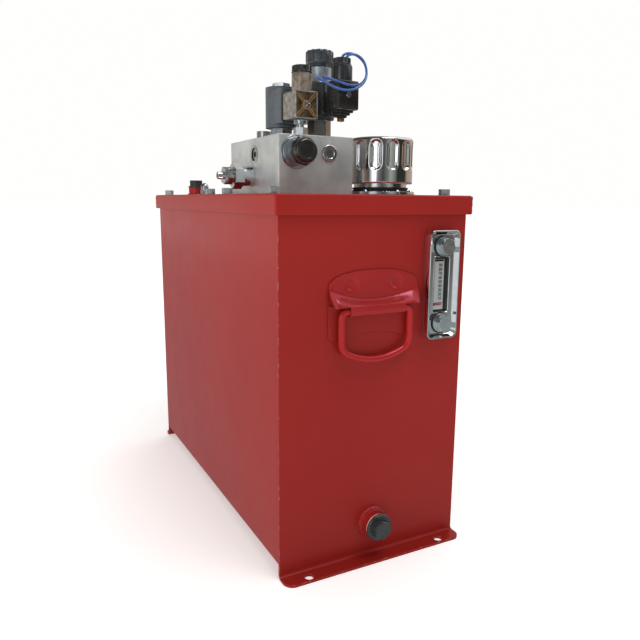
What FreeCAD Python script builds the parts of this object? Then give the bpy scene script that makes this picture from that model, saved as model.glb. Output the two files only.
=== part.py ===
"""Hydraulic power unit: a sheet-steel oil tank on two folded feet, with a valve
manifold, a filler breather and a level gauge outside, and a motor with a gear
pump lying in the oil inside.

Millimetres. The origin is the centre of the four foot holes on the floor plane,
+X to the right seen from the front, +Y to the rear, +Z up. The front is the short
face that carries the carrying handle, the level gauge and the drain.
"""
import FreeCAD, Part
import math
import os

V = FreeCAD.Vector
AXIS_X = V(1, 0, 0)
AXIS_Y = V(0, 1, 0)
AXIS_Z = V(0, 0, 1)

# ---------------------------------------------------------------- driving sizes
TANK_WIDTH = 206.0
TANK_LENGTH = 420.0
TANK_BOTTOM = 11.0          # the gap under the tank
SHEET = 2.5                 # tank sheet thickness
RIM_TOP = 360.0             # top edge of the tank walls
RIM_WIDTH = 17.0
RIM_THICKNESS = 4.0
GASKET_THICKNESS = 1.0
LID_SHEET = 2.0
LID_OVERHANG = 4.4          # lid outside past the tank wall, each side
LID_FLANGE = 18.5           # depth of the lid's folded edge
FOOT_DEPTH = 18.0           # foot flange, out from the end face
FOOT_HOLE_RADIUS = 4.5
FOOT_HOLE_OUT = 11.5        # hole centre, out from the end face
FOOT_HOLE_X = 77.0
FIT = 0.05                  # radial clearance of a running or located fit

HALF_W = TANK_WIDTH / 2
HALF_L = TANK_LENGTH / 2
LID_TOP = RIM_TOP + GASKET_THICKNESS + LID_SHEET
LID_UNDER = LID_TOP - LID_SHEET

LID_BOLT_X = 95.0
LID_BOLT_Y = (-184.0, 0.0, 184.0)
EARTH_BOLT = (-95.0, -59.0)
DOME_NUT = (-75.0, 84.0)
M6_RADIUS = 3.0

DRAIN_Z = 36.0
DRAIN_BOSS_RADIUS = 13.5
DRAIN_BOSS_OUT = 11.0
DRAIN_BORE = 10.4

GAUGE_X = 70.7
GAUGE_Z = 276.0
GAUGE_WIDTH = 37.0
GAUGE_HEIGHT = 108.0
GAUGE_DEPTH = 11.0
GAUGE_RECESS = 4.9          # the face that the screws seat on, below the raised rim
GAUGE_POCKET = 9.5          # the window's floor, below the raised rim
GAUGE_BOLT_SPACING = 76.0
GAUGE_WINDOW = (17.7, 54.6)

HANDLE_X = -4.5             # centre of the front handle; the rear one mirrors it
HANDLE_WIDTH = 98.0
HANDLE_TOP = 294.0
HANDLE_FOLD_Z = 261.0
HANDLE_BOTTOM = 229.0
HANDLE_SHEET = 1.5
PIVOT_OUT = 6.5             # ring pivot, out from the end face
PIVOT_Z = 256.5
RING_WIRE = 3.25            # wire radius
RING_HALF = 38.0            # pivot centre to the leg's centre line
RING_DROP = 47.5            # pivot to the centre line of the ring's lowest point
RING_ARC = 70.0
RING_CORNER = 14.0
RING_TOP_CORNER = 6.0
KNUCKLE_HALF = 30.5

BREATHER = (65.0, -109.0)
BREATHER_RADIUS = 35.0
BREATHER_TOP = 424.0
BREATHER_SKIRT = 375.5
BASKET_RADIUS = 18.5

BLOCK_X = (-63.0, 22.0)
BLOCK_Y = (-122.0, 16.0)
BLOCK_HEIGHT = 59.0
BLOCK_TOP = LID_TOP + BLOCK_HEIGHT

PRESSURE_PORT = (-43.5, 404.7)      # x, z on the block's front face
PRESSURE_PORT_RADIUS = 8.5
PORT_CAP_Y = (-134.5, -139.5, -147.5)   # back of the cap's flange, front of it, and the round end
FRONT_PLUG = (-6.2, 404.6)
SIDE_PLUG = (-56.0, 405.4)          # y, z on the block's left face
PLUG_RADIUS = 8.3
RELIEF = (-50.0, 382.5)             # y, z on the block's left face
CHECK_PLUG = (-40.0, -29.7)
BLEED = (-33.8, -111.0)
VALVE_A = (-32.4, -60.0)
VALVE_A_TURN = 3.4                  # degrees that valve A's plug faces to the right
VALVE_B = (3.6, -80.0)
VALVE_B_TURN = 6.6
PRESSURE_PIPE_PORT = (-20.0, 0.0)
RETURN_PIPE_PORT = (6.0, -4.0)

LID_PORT = (-70.0, 137.6)
CABLE_GLAND = (30.0, 90.0)

MOTOR_Z = 105.0
MOTOR_RADIUS = 65.0
MOTOR_Y = (-150.0, 20.0)
STATOR_Y = (-120.0, -20.0)
ROTOR_RADIUS = 36.5
SHAFT_RADIUS = 10.0
BEARING_RADIUS = 21.0
BELL_THICKNESS = 14.0
GEAR_TEETH = 12
GEAR_MODULE = 2.5
GEAR_ANGLE = 25.0
GEAR_Y = (40.2, 59.8)
PUMP_Y = (34.0, 60.0, 72.0)

LEAD_RADIUS = 1.25
# centre lines of the two blue leads that stand out of valve B's cable gland
LEAD_1 = [(6.0, -120.1, 486.8), (6.4, -120.2, 499.0), (13.6, -121.2, 505.0), (26.0, -123.0, 502.6),
          (33.8, -125.4, 494.0), (33.4, -128.3, 481.8), (23.0, -133.4, 472.2), (8.0, -136.0, 470.2),
          (-7.0, -136.8, 473.4), (-21.5, -135.5, 476.2)]
LEAD_2 = [(10.0, -120.4, 486.8), (10.1, -120.9, 495.5), (13.0, -123.8, 502.0), (20.6, -126.0, 503.2),
          (28.6, -128.4, 498.2), (31.4, -130.6, 489.0), (29.0, -134.4, 478.4), (20.0, -138.2, 469.8),
          (7.5, -139.4, 464.8), (-6.0, -139.8, 465.0), (-17.0, -139.0, 468.8), (-28.6, -137.4, 474.4)]

os.makedirs("parts", exist_ok=True)


# ---------------------------------------------------------------- small helpers
def save(name, shape):
    """Write one sub-part to its own STEP file."""
    shape.exportStep("parts/" + name + ".step")


def box(x0, x1, y0, y1, z0, z1):
    return Part.makeBox(x1 - x0, y1 - y0, z1 - z0, V(x0, y0, z0))


def cylinder(base, axis, radius, height):
    return Part.makeCylinder(radius, height, V(*base), axis)


def tube(base, axis, outer, inner, height):
    return cylinder(base, axis, outer, height).cut(cylinder(base, axis, inner, height))


def fuse(shapes):
    """Join shapes into one clean solid."""
    joined = shapes[0]
    for shape in shapes[1:]:
        joined = joined.fuse(shape)
    return joined.removeSplitter()


def group(shapes):
    return Part.makeCompound(list(shapes))


def prism(points, direction):
    """Extrude a closed outline of 3-D points."""
    outline = [V(*p) for p in points]
    return Part.Face(Part.makePolygon(outline + outline[:1])).extrude(direction)


def polygon_bar(base, axis, across_flats, height, sides=6, turn=0.0):
    """A regular bar along an axis; turn is in degrees about it."""
    side = AXIS_Z if abs(axis.z) < 0.5 else AXIS_X
    other = axis.cross(side)
    radius = across_flats / 2 / math.cos(math.pi / sides)
    corners = []
    for i in range(sides):
        angle = math.radians(turn) + 2 * math.pi * i / sides
        corner = V(*base) + side * (radius * math.cos(angle)) + other * (radius * math.sin(angle))
        corners.append(tuple(corner))
    return prism(corners, axis * height)


def hex_head(base, axis, across_flats, height, turn=0.0):
    """A hexagon with the chamfered outer corners of a bolt head."""
    bar = polygon_bar(base, axis, across_flats, height, 6, turn)
    radius = across_flats / 2 / math.cos(math.pi / 6)
    reach = radius * 1.02
    cone = Part.makeCone(reach + height / math.tan(math.radians(30)), reach * 0.93, height, V(*base), axis)
    return bar.common(cone)


def round_edges(shape, axis, radius, where=None):
    """Fillet the straight edges that run along an axis and that where accepts."""
    edges = []
    for edge in shape.Edges:
        if not isinstance(edge.Curve, (Part.Line, Part.LineSegment)):
            continue
        direction = edge.tangentAt(edge.FirstParameter)
        if abs(abs(direction.dot(axis)) - 1) < 1e-6 and (where is None or where(edge.CenterOfMass)):
            edges.append(edge)
    return shape.makeFillet(radius, edges)


def chamfer_face_edges(shape, axis, level, size):
    """Chamfer every edge that lies in the plane at this level of an axis."""
    edges = []
    for edge in shape.Edges:
        spread = [abs(v.Point.dot(axis) - level) for v in edge.Vertexes]
        if max(spread) < 1e-6 and abs(edge.CenterOfMass.dot(axis) - level) < 1e-6:
            edges.append(edge)
    return shape.makeChamfer(size, edges)


def route_wire(points, label):
    """Straight runs joined by tangent arcs, as large as the shorter run beside each allows."""
    stops = [V(*p) for p in points]
    edges = []
    radii = []
    start = stops[0]
    for before, corner, after in zip(stops, stops[1:], stops[2:]):
        back = before - corner
        ahead = after - corner
        reach = 0.45 * min(back.Length, ahead.Length)
        half_turn = (math.pi - back.getAngle(ahead)) / 2
        radii.append(reach / math.tan(half_turn))
        back.normalize()
        ahead.normalize()
        entry = corner + back * reach
        leave = corner + ahead * reach
        middle_line = back + ahead
        middle_line.normalize()
        inset = radii[-1] / math.cos(half_turn) - radii[-1]
        edges.append(Part.LineSegment(start, entry).toShape())
        edges.append(Part.Arc(entry, corner + middle_line * inset, leave).toShape())
        start = leave
    edges.append(Part.LineSegment(start, stops[-1]).toShape())
    print(label, "arc radii", [round(r, 1) for r in radii])
    return Part.Wire(edges)


def swept(wire, radius, closed=False):
    """A round section swept along a wire."""
    first = wire.OrderedEdges[0]
    start = first.valueAt(first.FirstParameter)
    direction = first.tangentAt(first.FirstParameter)
    profile = Part.Wire([Part.makeCircle(radius, start, direction)])
    shape = wire.makePipeShell([profile], not closed, False)
    if closed:
        shape = Part.makeSolid(shape)
    return shape


def turned(shape, degrees, centre):
    copy = shape.copy()
    copy.rotate(V(*centre), AXIS_Z, degrees)
    return copy


# ---------------------------------------------------------------- tank
def tank_wrap():
    """Both sides and the bottom, folded from one sheet."""
    length = HALF_L - SHEET
    outer = box(-HALF_W, HALF_W, -length, length, TANK_BOTTOM, RIM_TOP)
    outer = round_edges(outer, AXIS_Y, 6.0, lambda c: c.z < TANK_BOTTOM + 1)
    inner = box(-HALF_W + SHEET, HALF_W - SHEET, -length - 1, length + 1, TANK_BOTTOM + SHEET, RIM_TOP + 1)
    inner = round_edges(inner, AXIS_Y, 3.5, lambda c: c.z < TANK_BOTTOM + SHEET + 1)
    return outer.cut(inner)


def end_plate_blank():
    """The front end plate with its foot folded out, before its own holes."""
    face = -HALF_L
    wall = box(-HALF_W, HALF_W, face, face + SHEET, 0, RIM_TOP)
    foot = box(-HALF_W, HALF_W, face - FOOT_DEPTH, face + SHEET, 0, SHEET)
    plate = fuse([wall, foot])
    plate = round_edges(plate, AXIS_X, 5.5, lambda c: abs(c.y - face - SHEET) < 0.1 and c.z < 0.1)
    plate = round_edges(plate, AXIS_X, 3.0, lambda c: abs(c.y - face) < 0.1 and abs(c.z - SHEET) < 0.1)
    plate = round_edges(plate, AXIS_Z, 10.0, lambda c: c.y < face - FOOT_DEPTH + 0.1)
    for x in (-FOOT_HOLE_X, FOOT_HOLE_X):
        plate = plate.cut(cylinder((x, face - FOOT_HOLE_OUT, -1), AXIS_Z, FOOT_HOLE_RADIUS, SHEET + 2))
    return plate


def front_end_plate():
    plate = end_plate_blank()
    for side in (-1, 1):
        z = GAUGE_Z + side * GAUGE_BOLT_SPACING / 2
        plate = plate.cut(cylinder((GAUGE_X, -HALF_L - 1, z), AXIS_Y, 5.2, SHEET + 2))
    return plate.cut(cylinder((0, -HALF_L - 1, DRAIN_Z), AXIS_Y, DRAIN_BORE + 2.0, SHEET + 2))


def rear_end_plate():
    return turned(end_plate_blank(), 180, (0, 0, 0))


def bolt_places():
    places = [(x, y) for x in (-LID_BOLT_X, LID_BOLT_X) for y in LID_BOLT_Y]
    return places + [EARTH_BOLT]


def rim_ring(z0, z1, hole_radius):
    """A flat frame just inside the walls, with the lid bolt holes."""
    half_w = HALF_W - SHEET
    half_l = HALF_L - SHEET
    ring = box(-half_w, half_w, -half_l, half_l, z0, z1)
    ring = ring.cut(box(-half_w + RIM_WIDTH, half_w - RIM_WIDTH, -half_l + RIM_WIDTH + 4,
                        half_l - RIM_WIDTH - 4, z0 - 1, z1 + 1))
    for x, y in bolt_places():
        ring = ring.cut(cylinder((x, y, z0 - 1), AXIS_Z, hole_radius, z1 - z0 + 2))
    return ring


def lid():
    """A shallow tray, folded down all round and welded at its corners."""
    half_w = HALF_W + LID_OVERHANG
    half_l = HALF_L + LID_OVERHANG
    low = LID_TOP - LID_FLANGE
    tray = box(-half_w, half_w, -half_l, half_l, low, LID_TOP)
    tray = round_edges(tray, AXIS_Z, 2.5)
    top_edges = [e for e in tray.Edges if abs(e.CenterOfMass.z - LID_TOP) < 1e-6]
    tray = tray.makeFillet(2.2, top_edges)
    tray = tray.cut(box(-half_w + LID_SHEET, half_w - LID_SHEET, -half_l + LID_SHEET, half_l - LID_SHEET,
                        low - 1, LID_UNDER))
    holes = [(x, y, M6_RADIUS + 0.4) for x, y in bolt_places() + [DOME_NUT]]
    holes += [(BREATHER[0], BREATHER[1], 27.0), (LID_PORT[0], LID_PORT[1], 6.5),
              (CABLE_GLAND[0], CABLE_GLAND[1], 8.1), (PRESSURE_PIPE_PORT[0], PRESSURE_PIPE_PORT[1], 7.0),
              (RETURN_PIPE_PORT[0], RETURN_PIPE_PORT[1], 7.0)]
    holes += [(x, y, 4.2) for x, y in block_screw_places()]
    holes += [(x, y, 1.7) for x, y in breather_screw_places()]
    for x, y, radius in holes:
        tray = tray.cut(cylinder((x, y, LID_UNDER - 1), AXIS_Z, radius, LID_SHEET + 2))
    return tray


def lid_fasteners():
    """Six M6 lid screws, the earth screw and the domed nut on its stud."""
    pieces = []
    for x, y in bolt_places():
        head = hex_head((x, y, LID_TOP), AXIS_Z, 10.0, 6.4, turn=11.0 * x)
        pieces.append(fuse([head, cylinder((x, y, LID_TOP - 14), AXIS_Z, M6_RADIUS, 14.5)]))
    x, y = DOME_NUT
    nut = fuse([polygon_bar((x, y, LID_TOP), AXIS_Z, 10.0, 6.0),
                cylinder((x, y, LID_TOP + 5.9), AXIS_Z, 4.8, 4.1),
                Part.makeSphere(4.8, V(x, y, LID_TOP + 10)),
                cylinder((x, y, LID_TOP - 12), AXIS_Z, M6_RADIUS, 12.5)])
    pieces.append(nut)
    return group(pieces)


# ---------------------------------------------------------------- drain
def drain_boss():
    face = -HALF_L
    boss = cylinder((0, face - DRAIN_BOSS_OUT, DRAIN_Z), AXIS_Y, DRAIN_BOSS_RADIUS, DRAIN_BOSS_OUT)
    spigot = cylinder((0, face - 1, DRAIN_Z), AXIS_Y, DRAIN_BORE + 1.95, SHEET + 3)
    weld = Part.makeCone(DRAIN_BOSS_RADIUS, DRAIN_BOSS_RADIUS + 3.2, 3.2, V(0, face - 3.2, DRAIN_Z), AXIS_Y)
    bore = cylinder((0, face - 20, DRAIN_Z), AXIS_Y, DRAIN_BORE, 40)
    return fuse([boss, spigot, weld]).cut(bore)


def drain_seal():
    outer_face = -HALF_L - DRAIN_BOSS_OUT
    return tube((0, outer_face - 1.5, DRAIN_Z), AXIS_Y, 13.2, DRAIN_BORE + FIT, 1.5)


def drain_plug():
    seat = -HALF_L - DRAIN_BOSS_OUT - 1.5
    flange = cylinder((0, seat - 3, DRAIN_Z), AXIS_Y, 14.2, 3)
    head = hex_head((0, seat - 2.9, DRAIN_Z), V(0, -1, 0), 21.0, 6.8, turn=8)
    shank = cylinder((0, seat - 1, DRAIN_Z), AXIS_Y, DRAIN_BORE - FIT, 13.5)
    return fuse([flange, head, shank])


# ---------------------------------------------------------------- level gauge
def gauge_bolt_heights():
    return [GAUGE_Z - GAUGE_BOLT_SPACING / 2, GAUGE_Z + GAUGE_BOLT_SPACING / 2]


def gauge_housing():
    back = -HALF_L
    front = back - GAUGE_DEPTH
    half_w = GAUGE_WIDTH / 2
    half_h = GAUGE_HEIGHT / 2
    body = box(GAUGE_X - half_w, GAUGE_X + half_w, front, back, GAUGE_Z - half_h, GAUGE_Z + half_h)
    body = round_edges(body, AXIS_Y, 6.0)
    body = chamfer_face_edges(body, AXIS_Y, front, 3.0)
    recess = box(GAUGE_X - half_w + 5, GAUGE_X + half_w - 5, front - 1, front + GAUGE_RECESS,
                 GAUGE_Z - half_h + 5, GAUGE_Z + half_h - 5)
    body = body.cut(round_edges(recess, AXIS_Y, 3.0))
    window_w, window_h = GAUGE_WINDOW
    pocket = box(GAUGE_X - window_w / 2, GAUGE_X + window_w / 2, front - 1, front + GAUGE_POCKET,
                 GAUGE_Z - window_h / 2, GAUGE_Z + window_h / 2)
    body = body.cut(round_edges(pocket, AXIS_Y, 2.0))
    for z in gauge_bolt_heights():
        body = body.cut(cylinder((GAUGE_X, front - 1, z), AXIS_Y, 5.2, GAUGE_DEPTH + 2))
    return body


def gauge_lens():
    front = -HALF_L - GAUGE_DEPTH + GAUGE_RECESS + 1.1
    half_w = GAUGE_WINDOW[0] / 2 - FIT
    half_h = GAUGE_WINDOW[1] / 2 - FIT
    lens = box(GAUGE_X - half_w, GAUGE_X + half_w, front, front + 2.0, GAUGE_Z - half_h, GAUGE_Z + half_h)
    return round_edges(lens, AXIS_Y, 2.0 - FIT)


def gauge_scale():
    """The thermometer scale plate on the floor of the window."""
    floor = -HALF_L - GAUGE_DEPTH + GAUGE_POCKET
    left = GAUGE_X - GAUGE_WINDOW[0] / 2 + 0.6
    half_h = GAUGE_WINDOW[1] / 2 - 2.2
    return box(left, left + 13.2, floor - 1.0, floor, GAUGE_Z - half_h, GAUGE_Z + half_h)


def gauge_fasteners():
    """Two M10 screws with their washers outside and their nuts inside the tank."""
    seat = -HALF_L - GAUGE_DEPTH + GAUGE_RECESS
    inside = -HALF_L + SHEET
    pieces = []
    for z in gauge_bolt_heights():
        washer = tube((GAUGE_X, seat - 2.2, z), AXIS_Y, 9.6, 5.2, 2.2)
        head = hex_head((GAUGE_X, seat - 2.2, z), V(0, -1, 0), 14.5, 7.4, turn=17)
        shank = cylinder((GAUGE_X, seat - 2.6, z), AXIS_Y, 5.0, inside - seat + 12)
        nut = polygon_bar((GAUGE_X, inside, z), AXIS_Y, 16.0, 8.0)
        nut = nut.cut(cylinder((GAUGE_X, inside - 1, z), AXIS_Y, 5.0 + FIT, 10))
        pieces += [washer, fuse([head, shank]), nut]
    return group(pieces)


# ---------------------------------------------------------------- carrying handles
def handle_plate():
    """The pressed plate: flat lower half, flared upper half and the rolled knuckle."""
    face = -HALF_L
    half = HANDLE_WIDTH / 2
    t = HANDLE_SHEET
    lower = box(HANDLE_X - half, HANDLE_X + half, face - t, face, HANDLE_BOTTOM, HANDLE_TOP)
    lower = round_edges(lower, AXIS_Y, 12.0, lambda c: c.z > HANDLE_TOP - 1)
    lower = round_edges(lower, AXIS_Y, 6.0, lambda c: c.z < HANDLE_BOTTOM + 1)
    arch_rise = 6.0
    arch_half = 34.0
    arch_radius = (arch_half ** 2 + arch_rise ** 2) / (2 * arch_rise)
    lower = lower.cut(cylinder((HANDLE_X, face - 5, HANDLE_BOTTOM + arch_rise - arch_radius), AXIS_Y,
                               arch_radius, 10))
    flare_top = 274.0
    flare_out = 11.0
    left = HANDLE_X - half + 2
    profile = [(left, face - t + 0.2, flare_top),
               (left, face - t, flare_top),
               (left, face - flare_out, HANDLE_FOLD_Z + 1.5),
               (left, face - flare_out, HANDLE_FOLD_Z),
               (left, face - flare_out + t, HANDLE_FOLD_Z),
               (left, face - t + 0.2, flare_top - 3)]
    flare = prism(profile, V(HANDLE_WIDTH - 4, 0, 0))
    pivot = (HANDLE_X - KNUCKLE_HALF, face - PIVOT_OUT, PIVOT_Z)
    bore = RING_WIRE + 0.08
    knuckle = tube(pivot, AXIS_X, bore + t, bore, 2 * KNUCKLE_HALF)
    web = box(HANDLE_X - KNUCKLE_HALF, HANDLE_X + KNUCKLE_HALF, face - flare_out,
              face - PIVOT_OUT - bore - 0.1, PIVOT_Z, HANDLE_FOLD_Z + 1)
    web = web.cut(cylinder(pivot, AXIS_X, bore, 2 * KNUCKLE_HALF))
    plate = fuse([lower, flare, knuckle, web])
    return plate


def handle_ring():
    """A closed D of round wire: pivot rod, two corners, legs and a bowed grip."""
    y = -HALF_L - PIVOT_OUT
    top = PIVOT_Z
    low = top - RING_DROP
    arc_centre = low + RING_ARC
    corner_x = RING_HALF - RING_CORNER
    corner_z = arc_centre - math.sqrt((RING_ARC - RING_CORNER) ** 2 - corner_x ** 2)
    stretch = RING_ARC / (RING_ARC - RING_CORNER)
    touch = (corner_x * stretch, arc_centre - (arc_centre - corner_z) * stretch)
    touch_angle = math.atan2(touch[1] - corner_z, touch[0] - corner_x)
    top_c = RING_TOP_CORNER

    def at(x, z):
        return V(HANDLE_X + x, y, z)

    def corner(side):
        middle = touch_angle / 2
        x = corner_x + RING_CORNER * math.cos(middle)
        return at(side * x, corner_z + RING_CORNER * math.sin(middle))

    def top_corner(side):
        reach = top_c * math.cos(math.pi / 4)
        return at(side * (RING_HALF - top_c + reach), top - top_c + reach)

    edges = [Part.LineSegment(at(-RING_HALF + top_c, top), at(RING_HALF - top_c, top)).toShape(),
             Part.Arc(at(RING_HALF - top_c, top), top_corner(1), at(RING_HALF, top - top_c)).toShape(),
             Part.LineSegment(at(RING_HALF, top - top_c), at(RING_HALF, corner_z)).toShape(),
             Part.Arc(at(RING_HALF, corner_z), corner(1), at(*touch)).toShape(),
             Part.Arc(at(*touch), at(0, low), at(-touch[0], touch[1])).toShape(),
             Part.Arc(at(-touch[0], touch[1]), corner(-1), at(-RING_HALF, corner_z)).toShape(),
             Part.LineSegment(at(-RING_HALF, corner_z), at(-RING_HALF, top - top_c)).toShape(),
             Part.Arc(at(-RING_HALF, top - top_c), top_corner(-1), at(-RING_HALF + top_c, top)).toShape()]
    solids = []
    for edge in edges:
        solids.append(swept(Part.Wire([edge]), RING_WIRE))
    return fuse(solids)


# ---------------------------------------------------------------- filler breather
def breather_screw_places():
    places = []
    for i in range(6):
        angle = math.radians(30 + 60 * i)
        places.append((BREATHER[0] + 33.5 * math.cos(angle), BREATHER[1] + 33.5 * math.sin(angle)))
    return places


def breather_flange():
    x, y = BREATHER
    ring = tube((x, y, LID_TOP), AXIS_Z, 37.6, 26.0, 4.0)
    neck = tube((x, y, LID_TOP + 3.9), AXIS_Z, 29.0, 26.0, 19.1)
    flange = fuse([ring, neck])
    for sx, sy in breather_screw_places():
        flange = flange.cut(cylinder((sx, sy, LID_TOP - 1), AXIS_Z, 1.7, 6))
    return flange


def breather_screws():
    screws = []
    for x, y in breather_screw_places():
        head = Part.makeCone(2.9, 1.9, 1.8, V(x, y, LID_TOP + 4.0), AXIS_Z)
        shank = cylinder((x, y, LID_UNDER), AXIS_Z, 1.5, 6.5)
        screws.append(fuse([head, shank]))
    return group(screws)


def breather_basket():
    """The filler strainer that hangs in the neck."""
    x, y = BREATHER
    top = LID_TOP + 23.0
    wall = tube((x, y, top - 110), AXIS_Z, BASKET_RADIUS, BASKET_RADIUS - 1, 110)
    floor = cylinder((x, y, top - 110), AXIS_Z, BASKET_RADIUS, 1.2)
    lip = tube((x, y, top), AXIS_Z, 28.5, BASKET_RADIUS - 1, 1.2)
    basket = fuse([wall, floor, lip])
    for level in range(9):
        z = top - 100 + 10 * level
        for i in range(4):
            angle = 45 * i + 22.5 * (level % 2)
            direction = V(math.cos(math.radians(angle)), math.sin(math.radians(angle)), 0)
            start = V(x, y, z) - direction * 30
            basket = basket.cut(Part.makeCylinder(2.2, 60, start, direction))
    return basket


def breather_foam():
    """The ring of air-filter foam inside the cap."""
    x, y = BREATHER
    return tube((x, y, LID_TOP + 26.0), AXIS_Z, 29.5, 12.0, 18.0)


def breather_cap():
    """A hollow cap: fluted above, plain skirt below, slightly domed top."""
    x, y = BREATHER
    height = BREATHER_TOP - BREATHER_SKIRT
    shell = cylinder((x, y, BREATHER_SKIRT), AXIS_Z, BREATHER_RADIUS, height)
    top_edges = [e for e in shell.Edges if abs(e.CenterOfMass.z - BREATHER_TOP) < 0.01]
    shell = shell.makeFillet(4.0, top_edges)
    for i in range(12):
        angle = math.radians(16.6 + 30 * i)
        fx = x + (BREATHER_RADIUS + 7.6) * math.cos(angle)
        fy = y + (BREATHER_RADIUS + 7.6) * math.sin(angle)
        flute = cylinder((fx, fy, BREATHER_SKIRT + 20), AXIS_Z, 10.6, height)
        shell = shell.cut(fuse([flute, Part.makeSphere(10.6, V(fx, fy, BREATHER_SKIRT + 20))]))
    return shell.cut(cylinder((x, y, BREATHER_SKIRT - 1), AXIS_Z, 30.5, height - 1.5))


# ---------------------------------------------------------------- small things on the lid
def lid_port_boss():
    x, y = LID_PORT
    boss = tube((x, y, LID_TOP), AXIS_Z, 10.0, 6.5 + FIT, 10.0)
    return boss


def lid_port_plug():
    x, y = LID_PORT
    flange = cylinder((x, y, LID_TOP + 10.0), AXIS_Z, 10.4, 1.8)
    head = hex_head((x, y, LID_TOP + 11.7), AXIS_Z, 16.0, 7.6, turn=10)
    shank = cylinder((x, y, LID_TOP - 1), AXIS_Z, 6.45, 12)
    return fuse([flange, head, shank])


def cable_gland():
    """The motor cable's gland: locknut under the lid, hexagons and a domed nut above."""
    x, y = CABLE_GLAND
    outside = fuse([polygon_bar((x, y, LID_TOP), AXIS_Z, 20.0, 5.0),
                    cylinder((x, y, LID_TOP + 4.9), AXIS_Z, 8.6, 4.0),
                    polygon_bar((x, y, LID_TOP + 8.0), AXIS_Z, 19.0, 8.0),
                    Part.makeCone(9.0, 6.5, 4.0, V(x, y, LID_TOP + 15.9), AXIS_Z),
                    cylinder((x, y, LID_TOP - 10), AXIS_Z, 8.0, 12)])
    nut = polygon_bar((x, y, LID_UNDER - 4.5), AXIS_Z, 22.0, 4.5)
    return fuse([outside, nut]).cut(cylinder((x, y, LID_TOP - 20), AXIS_Z, 4.5, 50))


# ---------------------------------------------------------------- manifold
def block_screw_places():
    inset = 10.0
    return [(x, y) for x in (BLOCK_X[0] + inset, BLOCK_X[1] - inset)
            for y in (BLOCK_Y[0] + inset, BLOCK_Y[1] - inset)]


def manifold_block():
    """The drilled aluminium block with its cavities and joining galleries."""
    block = box(BLOCK_X[0], BLOCK_X[1], BLOCK_Y[0], BLOCK_Y[1], LID_TOP, BLOCK_TOP)
    block = block.makeChamfer(0.5, block.Edges)
    front = BLOCK_Y[0]
    left = BLOCK_X[0]
    px, pz = PRESSURE_PORT
    fx, fz = FRONT_PLUG
    sy, sz = SIDE_PLUG
    ry, rz = RELIEF
    drills = [cylinder((px, front - 1, pz), AXIS_Y, PRESSURE_PORT_RADIUS, 26),
              cylinder((px, front - 1, pz), AXIS_Y, 15.6, 2.0),
              cylinder((fx, front - 1, fz), AXIS_Y, 6.6, 18),
              cylinder((fx, front - 1, fz), AXIS_Y, PLUG_RADIUS + 0.1, 2.2),
              cylinder((left - 1, sy, sz), AXIS_X, 6.6, 16),
              cylinder((left - 1, sy, sz), AXIS_X, 11.0, 1.8),
              cylinder((left - 1, sy, sz), AXIS_X, PLUG_RADIUS + 0.1, 4.5),
              cylinder((left - 1, ry, rz), AXIS_X, 9.6, 30),
              cylinder((VALVE_A[0], VALVE_A[1], BLOCK_TOP - 25), AXIS_Z, 8.5, 26),
              cylinder((VALVE_B[0], VALVE_B[1], BLOCK_TOP - 25), AXIS_Z, 8.5, 26),
              cylinder((CHECK_PLUG[0], CHECK_PLUG[1], BLOCK_TOP - 14), AXIS_Z, 6.6, 16),
              cylinder((BLEED[0], BLEED[1], BLOCK_TOP - 12), AXIS_Z, 4.0 + FIT, 14),
              cylinder((PRESSURE_PIPE_PORT[0], PRESSURE_PIPE_PORT[1], LID_TOP - 1), AXIS_Z, 5.0 + FIT, 13),
              cylinder((PRESSURE_PIPE_PORT[0], PRESSURE_PIPE_PORT[1], LID_TOP + 10), AXIS_Z, 3.0, 12),
              cylinder((RETURN_PIPE_PORT[0], RETURN_PIPE_PORT[1], LID_TOP - 1), AXIS_Z, 5.0 + FIT, 13)]
    for x, y in block_screw_places():
        drills.append(cylinder((x, y, LID_TOP - 1), AXIS_Z, 4.0 + FIT, 19))
    return block.cut(group(drills))


def socket_screw(base, axis, radius, length):
    """A cylinder-head screw: base is the seat under its head and axis points into the thread."""
    away = axis * -1
    head = Part.makeCylinder(radius * 1.6, radius * 2, V(*base), away)
    shank = Part.makeCylinder(radius, length, V(*base), axis)
    mouth = V(*base) + away * (radius * 1.2)
    socket = polygon_bar(tuple(mouth), away, radius * 1.5, radius)
    return fuse([head, shank]).cut(socket)


def socket_screws():
    """M8 screws: four up through the lid into the block, four through the pump's cover."""
    screws = [socket_screw((x, y, LID_UNDER), AXIS_Z, 4.0, 18) for x, y in block_screw_places()]
    for x in (-21.5, 21.5):
        for z in (MOTOR_Z - 46, MOTOR_Z + 18):
            screws.append(socket_screw((x, PUMP_Y[2], z), V(0, -1, 0), 4.0, 32))
    return group(screws)


def port_plug(base, axis, head_height=2.4):
    """A flanged plug with a hexagon socket; base is on the seat and axis points out of the block."""
    into = axis * -1
    head = Part.makeCylinder(PLUG_RADIUS, head_height, V(*base), axis)
    shank = Part.makeCylinder(6.55, 11, V(*base), into)
    mouth = V(*base) + into * 5
    socket = polygon_bar(tuple(mouth), axis, 6.0, 5 + head_height + 1)
    plug = fuse([head, shank]).cut(socket)
    return plug


def block_plugs():
    front = port_plug((FRONT_PLUG[0], BLOCK_Y[0] + 1.2, FRONT_PLUG[1]), V(0, -1, 0))
    left = port_plug((BLOCK_X[0] + 3.5, SIDE_PLUG[0], SIDE_PLUG[1]), V(-1, 0, 0))
    top = port_plug((CHECK_PLUG[0], CHECK_PLUG[1], BLOCK_TOP), AXIS_Z, 10.5)
    return group([front, left, top])


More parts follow.
